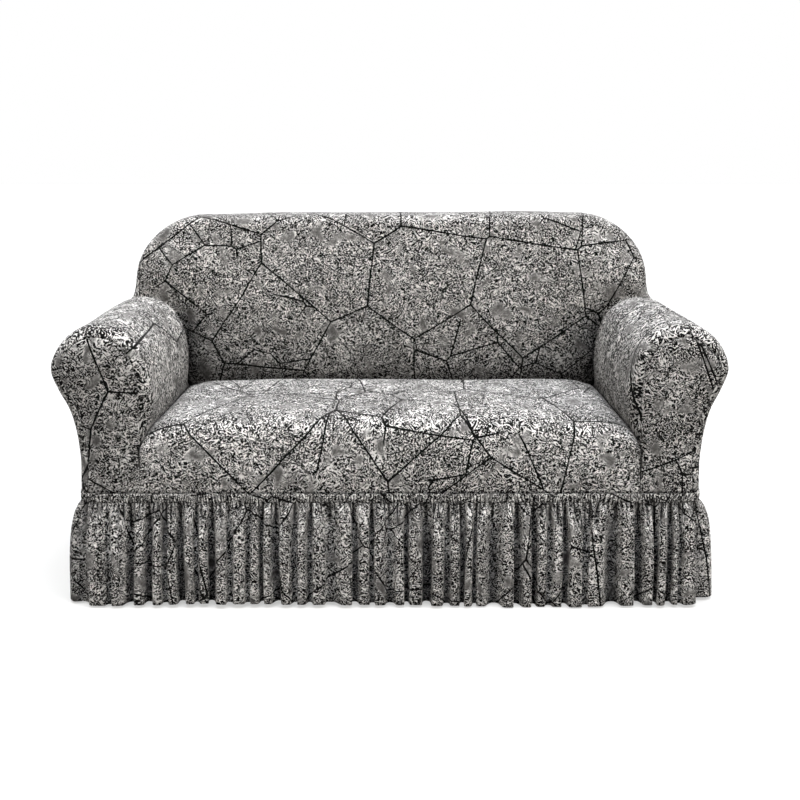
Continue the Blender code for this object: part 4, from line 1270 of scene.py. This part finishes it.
def squiggles(w, vector, size, wide):
    """Short thin squiggles along the level lines of a rough height, which lie another way in each area."""
    scale = w.math("DIVIDE", 1.0, size)
    swirl = w.warped(vector, 60.0, 0.010)
    area = w.noise(w.moved(vector, 2.2, 7.7), 35.0, 1.0)
    dark = 0.0
    for number, turn in enumerate(SQUIGGLE_TURNS):
        lying = w.node("ShaderNodeMapping", {"vector_type": "TEXTURE"}, Vector=swirl)
        lying.inputs["Location"].default_value = (3.0 * turn, 1.7 * turn, 0.0)
        lying.inputs["Rotation"].default_value = (0.0, 0.0, turn)
        lying.inputs["Scale"].default_value = (SQUIGGLE_STRETCH, 1.0, 1.0)
        height = w.noise(lying.outputs["Vector"], scale)
        level = w.math("FRACT", w.math("MULTIPLY", height, SQUIGGLE_LEVELS))
        off = w.math("SUBTRACT", w.math("ABSOLUTE", w.math("SUBTRACT", level, 0.5)), wide)
        marks = w.steps(off, -SQUIGGLE_SOFTNESS, SQUIGGLE_SOFTNESS, 1.0, 0.0)
        if number > 0:
            edge = SQUIGGLE_AREAS[number - 1]
            low, high = edge - SQUIGGLE_AREA_SOFTNESS, edge + SQUIGGLE_AREA_SOFTNESS
            marks = w.math("MULTIPLY", marks, w.steps(area, low, high, 0.0, 1.0))
        if number < len(SQUIGGLE_AREAS):
            edge = SQUIGGLE_AREAS[number]
            low, high = edge - SQUIGGLE_AREA_SOFTNESS, edge + SQUIGGLE_AREA_SOFTNESS
            marks = w.math("MULTIPLY", marks, w.steps(area, low, high, 1.0, 0.0))
        dark = w.math("MAXIMUM", dark, marks)
    # Gaps cut the squiggles short.
    gaps = w.noise(w.moved(vector, 6.0, 1.0), w.math("MULTIPLY", scale, 4.2), 1.0)
    return w.math("MULTIPLY", dark, w.steps(gaps, 0.34, 0.38, 0.0, 1.0))


def print_group():
    """The print on the cloth: cloudy stone greys, a dense tangle of short dark marks, and thin crack lines."""
    colours = [(name, "NodeSocketColor") for name in ("Ground", "Cloud", "Mark", "Line")]
    sizes = [(name, "NodeSocketFloat") for name in ("Cell", "Line Width", "Mark Size")]
    group, w, given, made = new_group(
        "stone print", [("Vector", "NodeSocketVector")] + colours + sizes,
        [("Color", "NodeSocketColor"), ("Ink", "NodeSocketFloat")],
    )
    vector = given.outputs["Vector"]
    veins = w.noise(w.moved(vector, 0.0, 0.0, 0.5, 1.0, 1.4), 9.0, 5.0, 0.65, 0.9)
    clouds = w.noise(w.moved(vector, 4.4, 2.7), 18.0, 3.0, 0.5, 0.4)
    cloudy = w.steps(clouds, 0.55, 0.75, 0.0, 1.0)
    # The marks crowd where the veins run, and thin out in the clouds.
    wide = w.math("SUBTRACT", w.steps(veins, 0.37, 0.62, 0.335, 0.435), w.math("MULTIPLY", cloudy, 0.10))
    marks = squiggles(w, vector, given.outputs["Mark Size"], wide)
    dark = w.math("MULTIPLY", marks, w.steps(cloudy, 0.0, 1.0, 1.0, 0.35))
    tint = w.steps(w.noise(w.moved(vector, 1.3, 6.1), 45.0, 3.0, 0.6), 0.3, 0.7, 0.85, 1.12)
    ground = w.mix(cloudy, given.outputs["Ground"], given.outputs["Cloud"])
    inked = w.mix(dark, w.scaled(ground, tint), given.outputs["Mark"])
    lines = crack_lines(w, vector, given.outputs["Cell"], given.outputs["Line Width"])
    w.tree.links.new(w.mix(lines, inked, given.outputs["Line"]), made.inputs["Color"])
    w.tree.links.new(w.math("MAXIMUM", dark, lines), made.inputs["Ink"])
    return group


def knit_group():
    """The knit's fine ribs and loops, as a height from 0 to 1."""
    group, w, given, made = new_group(
        "fine knit", [("Vector", "NodeSocketVector"), ("Rib", "NodeSocketFloat")], [("Height", "NodeSocketFloat")],
    )
    vector = w.warped(given.outputs["Vector"], 90.0, 0.0012)
    pitch = w.math("DIVIDE", 1.0, given.outputs["Rib"])
    parts = w.node("ShaderNodeSeparateXYZ", Vector=vector)
    turn = w.math("MULTIPLY", pitch, 2.0 * math.pi)
    across = w.math("SINE", w.math("MULTIPLY", parts.outputs["X"], turn))
    along = w.math("SINE", w.math("MULTIPLY", parts.outputs["Y"], w.math("MULTIPLY", turn, 1.4)))
    ribs = w.math("ADD", w.math("MULTIPLY", across, 0.3), w.math("MULTIPLY", along, 0.15))
    fuzz = w.noise(given.outputs["Vector"], w.math("MULTIPLY", pitch, 1.7), 2.0)
    total = w.math("ADD", w.math("ADD", ribs, 0.25), w.math("MULTIPLY", fuzz, 0.5))
    w.tree.links.new(total, made.inputs["Height"])
    return group


def cloth_material(name, look, start, wide=1.0, tall=1.0):
    """The printed knit, its print starting at its own place on the roll. Returns the material, its wiring, its
    shader and the bump of the knit's fine relief."""
    material = bpy.data.materials.new(name)
    material.use_nodes = True
    w = Wiring(material.node_tree)
    shader = material.node_tree.nodes["Principled BSDF"]
    place = w.cloth_place()
    vector = w.moved(place, start[0], start[1], 0.0, wide, tall)
    printed = w.node("ShaderNodeGroup", {"node_tree": bpy.data.node_groups["stone print"]}, Vector=vector)
    for socket, value in (
        ("Ground", (*look.ground, 1.0)), ("Cloud", (*look.cloud, 1.0)), ("Mark", (*look.mark, 1.0)),
        ("Line", (*look.line, 1.0)), ("Cell", look.cell), ("Line Width", look.line_width),
        ("Mark Size", look.mark_size),
    ):
        printed.inputs[socket].default_value = value
    knit = w.node("ShaderNodeGroup", {"node_tree": bpy.data.node_groups["fine knit"]}, Vector=place)
    knit.inputs["Rib"].default_value = look.rib
    relief = w.node("ShaderNodeBump", Height=knit.outputs["Height"])
    relief.inputs["Strength"].default_value = 0.35
    relief.inputs["Distance"].default_value = 0.0005
    w.feed(shader, "Base Color", printed.outputs["Color"])
    w.feed(shader, "Roughness", w.steps(printed.outputs["Ink"], 0.0, 1.0, 0.86, 0.74))
    w.feed(shader, "Normal", relief.outputs["Normal"])
    shader.inputs["Specular IOR Level"].default_value = 0.10
    shader.inputs["Sheen Weight"].default_value = 0.04
    shader.inputs["Sheen Roughness"].default_value = 0.5
    return material, w, shader, relief


def darkened(w, shader, share, height, relief, distance):
    """Paints shade into the base colour where share is under 1 and light where it is over 1, and adds that
    height, distance deep, under the relief.
    """
    colour = shader.inputs["Base Color"].links[0].from_socket
    w.feed(shader, "Base Color", w.scaled(colour, share))
    under = w.node("ShaderNodeBump", Height=height)
    under.inputs["Strength"].default_value = 0.8
    under.inputs["Distance"].default_value = distance
    w.feed(relief, "Normal", under.outputs["Normal"])


def body_material(name, look, start, wide=1.0, tall=1.0):
    """The stretched body, each edge sinking into its seam, with painted shade in its seams, creases, corners and
    crevice.
    wide and tall scale the print on the cloth.
    """
    material, w, shader, relief = cloth_material(name, look, start, wide, tall)
    seam, shade, sunk = w.attribute("seam"), w.attribute("shade"), w.attribute("crevice")
    # Painted shade: nearly black in the crevice round the seat, and a little dark along every seam.
    dark = w.steps(w.math("DIVIDE", seam, w.math("ADD", sunk, 0.001)), 0.0020, 0.0085, 0.92, 0.0)
    # Times the painted shade marked on the points: the corners, the arm fronts and the creases.
    share = w.math("MULTIPLY", w.steps(seam, 0.0004, 0.0020, 0.55, 1.0), shade)
    share = w.math("MULTIPLY", share, w.math("SUBTRACT", 1.0, dark))
    darkened(w, shader, share, w.steps(seam, 0.0, 0.004, 0.0, 1.0), relief, 0.0015)
    return material


def dashes(w, across, height, at, pitch, thread):
    """A row of stitches at that height: 1 on the thread, 0 off it."""
    phase = w.math("FRACT", w.math("DIVIDE", across, pitch))
    on = w.steps(w.math("ABSOLUTE", w.math("SUBTRACT", phase, 0.5)), 0.30, 0.38, 1.0, 0.0)
    near = w.math("ABSOLUTE", w.math("SUBTRACT", height, at))
    return w.math("MULTIPLY", on, w.steps(near, 0.5 * thread, thread, 1.0, 0.0))


def heading_material(name, look, start):
    """The heading, with a row of stitches along each edge that holds its gathers, painted shade along them,
    between its puckers and in its slits, and painted light where its puckers stand out.
    """
    material, w, shader, relief = cloth_material(name, look, start)
    parts = w.node("ShaderNodeSeparateXYZ", Vector=w.cloth_place())
    rows, near = [], []
    for at, dark in HEADING_SEAMS:
        rows.append(dashes(w, parts.outputs["X"], parts.outputs["Y"], at, HEADING_STITCH, HEADING_THREAD))
        away = w.math("ABSOLUTE", w.math("SUBTRACT", parts.outputs["Y"], at))
        near.append(w.steps(away, 0.0006, 0.0022, dark, 1.0))
    stitches = w.math("MAXIMUM", *rows)
    deep = w.attribute("deep")
    height = w.math("SUBTRACT", w.math("MULTIPLY", near[0], near[1]), w.math("MULTIPLY", stitches, 0.4))
    # Painted shade along both seams, between the puckers and in the slits, and painted light where the puckers
    # stand out.
    share = w.math("MULTIPLY", w.math("MINIMUM", *near), w.steps(deep, 0.35, 0.90, 1.25, 0.22))
    darkened(w, shader, share, height, relief, 0.0012)
    return material


def skirt_material(name, look, start):
    """The skirt, with painted shade in its folds and slits and painted light on its crests, and the row of
    stitches that holds its turned hem.
    """
    material, w, shader, relief = cloth_material(name, look, start)
    parts = w.node("ShaderNodeSeparateXYZ", Vector=w.cloth_place())
    hem = -BAND_HEIGHT - SKIRT_DROP + look.hem
    stitches = dashes(w, parts.outputs["X"], parts.outputs["Y"], hem, HEM_STITCH, HEM_THREAD)
    fold = w.steps(w.math("ABSOLUTE", w.math("SUBTRACT", parts.outputs["Y"], hem)), 0.0003, 0.0020, 0.0, 1.0)
    deep = w.attribute("deep")
    share = w.steps(stitches, 0.0, 1.0, 1.0, 0.55)
    # Painted light on the fold crests, and painted shade on their flanks, in their valleys and in the slits.
    for low, high, at_low, at_high in FOLD_SHADES:
        share = w.math("MULTIPLY", share, w.steps(deep, low, high, at_low, at_high))
    darkened(w, shader, share, w.math("SUBTRACT", fold, w.math("MULTIPLY", stitches, 0.4)), relief, 0.0008)
    return material


# ---------------------------------------------------------------- what a user may change


class BodySizes(bpy.types.PropertyGroup):
    """The stretched body's cloth."""
    net_step: bpy.props.FloatProperty(
        name="Net Step", description="Distance between the points of the stretched body's net",
        default=0.0085, min=0.004, max=0.03, unit="LENGTH")
    thickness: bpy.props.FloatProperty(
        name="Cloth Thickness", description="Thickness of the knitted cloth",
        default=0.0013, min=0.0005, max=0.003, unit="LENGTH")
    unevenness: bpy.props.FloatProperty(
        name="Unevenness", description="How uneven the stretched cloth lies, as a share of its normal amount",
        default=1.0, min=0.0, max=3.0, subtype="FACTOR")
    crease_depth: bpy.props.FloatProperty(
        name="Crease Depth", description="Depth of the creases, as a share of their normal depth",
        default=1.0, min=0.0, max=3.0, subtype="FACTOR")
    give: bpy.props.FloatProperty(
        name="Give", description="How far the knit is stretched over the sofa, each way",
        default=1.08, min=1.0, max=1.3, subtype="FACTOR")


class SkirtSizes(bpy.types.PropertyGroup):
    """The gathered skirt and its heading."""
    skirt_step: bpy.props.FloatProperty(
        name="Skirt Step", description="Distance between the skirt's columns of points",
        default=0.0016, min=0.001, max=0.01, unit="LENGTH")
    heading_step: bpy.props.FloatProperty(
        name="Heading Step", description="Distance between the heading's columns of points",
        default=0.0012, min=0.001, max=0.01, unit="LENGTH")
    thickness: bpy.props.FloatProperty(
        name="Cloth Thickness", description="Thickness of the skirt's single cloth",
        default=0.0011, min=0.0005, max=0.003, unit="LENGTH")
    fold_pinch: bpy.props.FloatProperty(
        name="Fold Pinch", description="How far the folds bulge over their valleys, as a share of their width",
        default=0.10, min=0.0, max=0.3, subtype="FACTOR")
    gather_height: bpy.props.FloatProperty(
        name="Gather Height", description="Height of the finer gathers under the heading",
        default=0.0040, min=0.0, max=0.01, unit="LENGTH")
    puff: bpy.props.FloatProperty(
        name="Gather Puff", description="How far the gathers puff out just below the heading",
        default=0.0045, min=0.0, max=0.01, unit="LENGTH")
    slit_depth: bpy.props.FloatProperty(
        name="Slit Depth", description="How far the slits between the gathers go in behind the heading",
        default=0.0040, min=0.0, max=0.01, unit="LENGTH")
    pucker_height: bpy.props.FloatProperty(
        name="Pucker Height", description="Height of the puckers in the heading",
        default=0.0017, min=0.0, max=0.004, unit="LENGTH")


class PrintLook(bpy.types.PropertyGroup):
    """The printed knit, and the hem, which its stitches mark."""
    ground: bpy.props.FloatVectorProperty(
        name="Ground", description="The print's pale ground", default=(0.87, 0.857, 0.838),
        size=3, min=0.0, max=1.0, subtype="COLOR")
    cloud: bpy.props.FloatVectorProperty(
        name="Cloud", description="The print's smooth grey clouds", default=(0.165, 0.16, 0.156),
        size=3, min=0.0, max=1.0, subtype="COLOR")
    mark: bpy.props.FloatVectorProperty(
        name="Mark", description="The short dark marks", default=(0.003, 0.003, 0.0028),
        size=3, min=0.0, max=1.0, subtype="COLOR")
    line: bpy.props.FloatVectorProperty(
        name="Line", description="The crack lines", default=(0.001, 0.001, 0.001),
        size=3, min=0.0, max=1.0, subtype="COLOR")
    cell: bpy.props.FloatProperty(
        name="Crack Cell", description="Usual distance between the crack lines",
        default=0.27, min=0.05, max=1.0, unit="LENGTH")
    line_width: bpy.props.FloatProperty(
        name="Line Half Width", description="Half the width of a crack line",
        default=0.0020, min=0.0003, max=0.005, unit="LENGTH")
    mark_size: bpy.props.FloatProperty(
        name="Mark Size", description="Usual size of the short dark marks",
        default=0.0167, min=0.002, max=0.03, unit="LENGTH")
    rib: bpy.props.FloatProperty(
        name="Rib Pitch", description="Pitch of the knit's ribs",
        default=0.0016, min=0.0005, max=0.005, unit="LENGTH")
    hem: bpy.props.FloatProperty(
        name="Hem Depth", description="Height of the skirt's turned hem",
        default=0.014, min=0.005, max=0.05, unit="LENGTH")


class StageSizes(bpy.types.PropertyGroup):
    """The floor, the lights and the camera."""
    floor_half: bpy.props.FloatProperty(
        name="Floor Half Width", description="Half the width of the floor",
        default=30.0, min=2.0, max=100.0, unit="LENGTH")
    camera_away: bpy.props.FloatProperty(
        name="Camera Distance", description="How far the camera stands in front of the arms",
        default=3.16, min=1.0, max=10.0, unit="LENGTH")
    camera_height: bpy.props.FloatProperty(
        name="Camera Height", description="Height of the camera",
        default=1.177, min=0.1, max=5.0, unit="LENGTH")
    camera_drop: bpy.props.FloatProperty(
        name="Camera Tilt", description="How far the camera looks down",
        default=0.2008, subtype="ANGLE", unit="ROTATION")
    lens: bpy.props.FloatProperty(
        name="Lens", description="The camera's focal length in millimetres",
        default=57.74, min=10.0, max=300.0)
    top_light: bpy.props.FloatProperty(
        name="Top Light", description="Strength of the wide soft light overhead",
        default=4.2, min=0.0, max=20.0)
    right_light: bpy.props.FloatProperty(
        name="Right Light", description="Strength of the soft light from the right",
        default=1.55, min=0.0, max=20.0)
    left_light: bpy.props.FloatProperty(
        name="Left Light", description="Strength of the soft light from the left",
        default=0.97, min=0.0, max=20.0)
    rear_light: bpy.props.FloatProperty(
        name="Rear Light", description="Strength of the soft light from behind",
        default=0.8, min=0.0, max=20.0)
    sky: bpy.props.FloatProperty(
        name="Room Light", description="Strength of the even light all round",
        default=0.03, min=0.0, max=5.0)


# ---------------------------------------------------------------- the operators


def arm_hollow(side):
    """A point inside the arm on that side."""
    return (side * 0.72, 0.35, 0.45)


def net_of(context):
    """The net that all the panels of the body share, so that their edges meet."""
    return Net(context.scene.slipcover_body.net_step)


def finish_panel(mesh, title, node, material, body):
    """Makes a stretched panel of the mesh, as thick as the body's cloth."""
    piece = cloth_piece(title, mesh, material, node, body.thickness)


class SLIPCOVER_OT_finishes(bpy.types.Operator):
    """Make the shared node groups of the printed knit"""
    bl_idname = "slipcover.finishes"
    bl_label = "Cloth Finishes"

    def execute(self, context):
        print_group()
        knit_group()
        return {"FINISHED"}


class SLIPCOVER_OT_seat(bpy.types.Operator):
    """Stretch the seat panel from the heading over the front edge to the crevice at the back"""
    bl_idname = "slipcover.seat"
    bl_label = "Seat"

    def execute(self, context):
        body, net = context.scene.slipcover_body, net_of(context)
        shape, flat = seat_shape(net)
        across, along = len(net.seat_u) - 1, len(net.seat_v) - 1
        mesh = body_mesh("seat cloth", across, along, shape, flat, SEAT_HOLLOW, body)
        material = body_material("seat print", context.scene.slipcover_print, SEAT_START)
        finish_panel(mesh, "seat_panel", "seat", material, body)
        return {"FINISHED"}


class SLIPCOVER_OT_arms(bpy.types.Operator):
    """Stretch a panel over each arm, from the seat's crevice over the roll and down its outer side"""
    bl_idname = "slipcover.arms"
    bl_label = "Arms"

    def execute(self, context):
        body, net = context.scene.slipcover_body, net_of(context)
        for side, name, start in ((-1.0, "left", LEFT_ARM_START), (1.0, "right", RIGHT_ARM_START)):
            shape, flat = arm_shape(net, side)
            across, along = len(net.arm_w) - 1, len(net.joined_v) - 1
            mesh = body_mesh(name + " arm cloth", across, along, shape, flat, arm_hollow(side), body, nook_shade)
            material = body_material(name + " arm print", context.scene.slipcover_print, start, *ARM_PRINT_SCALE)
            finish_panel(mesh, "arm_panel_" + name, "arm_" + name, material, body)
        return {"FINISHED"}


class SLIPCOVER_OT_arm_fronts(bpy.types.Operator):
    """Set a shaped panel into the front of each arm"""
    bl_idname = "slipcover.arm_fronts"
    bl_label = "Arm Fronts"

    def execute(self, context):
        body, net = context.scene.slipcover_body, net_of(context)
        for side, name, start in ((-1.0, "left", LEFT_FRONT_START), (1.0, "right", RIGHT_FRONT_START)):
            shape, flat = arm_front_shape(net, side)
            mesh = body_mesh(name + " arm front cloth", ARM_FRONT_COLUMNS, ARM_FRONT_ROWS, shape, flat,
                             arm_hollow(side), body, front_shade)
            close_poles(mesh)
            material = body_material(name + " arm front print", context.scene.slipcover_print, start)
            finish_panel(mesh, "arm_front_panel_" + name, "arm_front_" + name, material, body)
        return {"FINISHED"}


class SLIPCOVER_OT_back_inner(bpy.types.Operator):
    """Stretch the inner back panel up the back's face, over its top and round its sides"""
    bl_idname = "slipcover.back_inner"
    bl_label = "Inner Back"

    def execute(self, context):
        body, net = context.scene.slipcover_body, net_of(context)
        shape, flat, across = back_inner_shape(net)
        along = len(net.back_r) - 1
        mesh = body_mesh("inner back cloth", across, along, shape, flat, BACK_HOLLOW, body, nook_shade)
        material = body_material("inner back print", context.scene.slipcover_print, BACK_INNER_START)
        finish_panel(mesh, "back_panel_inner", "back_inner", material, body)
        return {"FINISHED"}


class SLIPCOVER_OT_back_outer(bpy.types.Operator):
    """Stretch the outer back panel over the rear"""
    bl_idname = "slipcover.back_outer"
    bl_label = "Outer Back"

    def execute(self, context):
        body, net = context.scene.slipcover_body, net_of(context)
        shape, flat = back_outer_shape(net)
        across, along = int(BACK_ACROSS / body.net_step), len(net.outer_q) - 1
        mesh = body_mesh("outer back cloth", across, along, shape, flat, REAR_HOLLOW, body)
        material = body_material("outer back print", context.scene.slipcover_print, BACK_OUTER_START)
        finish_panel(mesh, "back_panel_outer", "back_outer", material, body)
        return {"FINISHED"}


class SLIPCOVER_OT_heading(bpy.types.Operator):
    """Gather a heading strip round each side, between two rows of stitches"""
    bl_idname = "slipcover.heading"
    bl_label = "Heading"

    def execute(self, context):
        scene = context.scene
        sizes = scene.slipcover_skirt
        for k, (name, start, stop) in enumerate(spans()):
            mesh, width = heading_mesh(sizes, start, stop, WAIST_HOLLOW)
            first = (HEADING_START[0] + HEADING_NEXT * k, HEADING_START[1])
            material = heading_material(name + " heading print", scene.slipcover_print, first)
            piece = cloth_piece("heading_" + name, mesh, material, "band_" + name, sizes.thickness)
        return {"FINISHED"}


class SLIPCOVER_OT_skirt(bpy.types.Operator):
    """Hang a gathered width of cloth from the heading round each side, with a turned hem"""
    bl_idname = "slipcover.skirt"
    bl_label = "Skirt"

    def execute(self, context):
        scene = context.scene
        sizes = scene.slipcover_skirt
        for k, (name, start, stop) in enumerate(spans()):
            mesh, width, down = skirt_mesh(sizes, start, stop, WAIST_HOLLOW)
            first = (SKIRT_START[0] + SKIRT_NEXT * k, SKIRT_START[1])
            material = skirt_material(name + " skirt print", scene.slipcover_print, first)
            title, node = "skirt_panel_" + name, "skirt_" + name
            piece = cloth_piece(title, mesh, material, node, 2.0 * sizes.thickness)
            # The turned hem is two cloths thick, and all above it only one.
            hem = piece.vertex_groups.new(name="hem")
            turned = down > SKIRT_DROP - scene.slipcover_print.hem
            hem.add(np.flatnonzero(turned).tolist(), 1.0, "REPLACE")
            hem.add(np.flatnonzero(~turned).tolist(), 0.5, "REPLACE")
            piece.modifiers["thickness"].vertex_group = "hem"
        return {"FINISHED"}


class SLIPCOVER_OT_stage(bpy.types.Operator):
    """Set up the pale floor, the soft studio light and the camera"""
    bl_idname = "slipcover.stage"
    bl_label = "Stage"

    def execute(self, context):
        scene = context.scene
        sizes = scene.slipcover_stage
        self.floor(scene, sizes)
        self.room(scene, sizes)
        for name, setting, towards, spread, colour in LIGHTS:
            self.light(scene, name, towards, spread, getattr(sizes, setting), colour)
        self.camera(scene, sizes)
        return {"FINISHED"}

    def floor(self, scene, sizes):
        """A floor that looks pale to the camera and gives little light back to the cover."""
        bm = bmesh.new()
        bmesh.ops.create_grid(bm, x_segments=1, y_segments=1, size=sizes.floor_half)
        mesh = bpy.data.meshes.new("floor")
        bm.to_mesh(mesh)
        bm.free()
        material = bpy.data.materials.new("pale floor")
        material.use_nodes = True
        w = Wiring(material.node_tree)
        shader = material.node_tree.nodes["Principled BSDF"]
        shader.inputs["Roughness"].default_value = 0.9
        shader.inputs["Specular IOR Level"].default_value = 0.1
        seen = w.node("ShaderNodeLightPath").outputs["Is Camera Ray"]
        w.feed(shader, "Base Color", w.mix(seen, (0.12, 0.12, 0.12, 1.0), (0.45, 0.45, 0.448, 1.0)))
        shader.inputs["Emission Color"].default_value = (1.0, 1.0, 0.99, 1.0)
        w.feed(shader, "Emission Strength", w.steps(seen, 0.0, 1.0, 0.0, 0.50))
        mesh.materials.append(material)
        floor = bpy.data.objects.new("floor", mesh)
        scene.collection.objects.link(floor)

    def room(self, scene, sizes):
        """A white room that gives the cover only the even light asked for."""
        world = bpy.data.worlds.new("pale room")
        world.use_nodes = True
        w = Wiring(world.node_tree)
        light = world.node_tree.nodes["Background"]
        seen = w.node("ShaderNodeLightPath").outputs["Is Camera Ray"]
        w.feed(light, "Color", (1.0, 1.0, 1.0, 1.0))
        w.feed(light, "Strength", w.steps(seen, 0.0, 1.0, sizes.sky, 1.0))
        scene.world = world

    def light(self, scene, name, towards, spread, strength, colour):
        """A soft light that stands that way from the cover."""
        data = bpy.data.lights.new(name, "SUN")
        data.energy = strength
        data.color = colour
        data.angle = math.radians(spread)
        lamp = bpy.data.objects.new(name, data)
        lamp.location = Vector(towards).normalized() * LIGHT_AWAY
        lamp.rotation_euler = Vector(towards).to_track_quat("Z", "Y").to_euler()
        scene.collection.objects.link(lamp)

    def camera(self, scene, sizes):
        """A camera in front, looking a little down."""
        data = bpy.data.cameras.new("camera")
        data.lens = sizes.lens
        camera = bpy.data.objects.new("camera", data)
        camera.location = (CAMERA_ASIDE, SHIFT[1] - sizes.camera_away, sizes.camera_height)
        camera.rotation_euler = (0.5 * math.pi - sizes.camera_drop, 0.0, CAMERA_TURN)
        scene.collection.objects.link(camera)
        scene.camera = camera
        scene.view_settings.view_transform = "Standard"


class SLIPCOVER_PT_panel(bpy.types.Panel):
    """The cover's sizes, its print and the stage"""
    bl_idname = "SLIPCOVER_PT_panel"
    bl_label = "Sofa Slipcover"
    bl_space_type = "VIEW_3D"
    bl_region_type = "UI"
    bl_category = "Slipcover"

    def draw(self, context):
        layout = self.layout
        for group in (context.scene.slipcover_body, context.scene.slipcover_skirt,
                      context.scene.slipcover_print, context.scene.slipcover_stage):
            box = layout.box()
            for key in group.__annotations__:
                box.prop(group, key)
        for operator in OPERATORS:
            layout.operator(operator.bl_idname)


SETTINGS = (
    ("slipcover_body", BodySizes),
    ("slipcover_skirt", SkirtSizes),
    ("slipcover_print", PrintLook),
    ("slipcover_stage", StageSizes),
)
OPERATORS = (
    SLIPCOVER_OT_finishes,
    SLIPCOVER_OT_seat,
    SLIPCOVER_OT_arms,
    SLIPCOVER_OT_arm_fronts,
    SLIPCOVER_OT_back_inner,
    SLIPCOVER_OT_back_outer,
    SLIPCOVER_OT_heading,
    SLIPCOVER_OT_skirt,
    SLIPCOVER_OT_stage,
)


def register():
    """Adds the settings, the operators and the panel."""
    for name, settings in SETTINGS:
        bpy.utils.register_class(settings)
        setattr(bpy.types.Scene, name, bpy.props.PointerProperty(type=settings))
    for operator in OPERATORS:
        bpy.utils.register_class(operator)
    bpy.utils.register_class(SLIPCOVER_PT_panel)


def unregister():
    """Takes away the panel, the operators and the settings."""
    bpy.utils.unregister_class(SLIPCOVER_PT_panel)
    for operator in reversed(OPERATORS):
        bpy.utils.unregister_class(operator)
    for name, settings in reversed(SETTINGS):
        delattr(bpy.types.Scene, name)
        bpy.utils.unregister_class(settings)


def main():
    """Makes the cover and its stage, one operator after another."""
    register()
    for make in (
        bpy.ops.slipcover.finishes,
        bpy.ops.slipcover.seat,
        bpy.ops.slipcover.arms,
        bpy.ops.slipcover.arm_fronts,
        bpy.ops.slipcover.back_inner,
        bpy.ops.slipcover.back_outer,
        bpy.ops.slipcover.heading,
        bpy.ops.slipcover.skirt,
        bpy.ops.slipcover.stage,
    ):
        make()


if __name__ == "__main__":
    main()
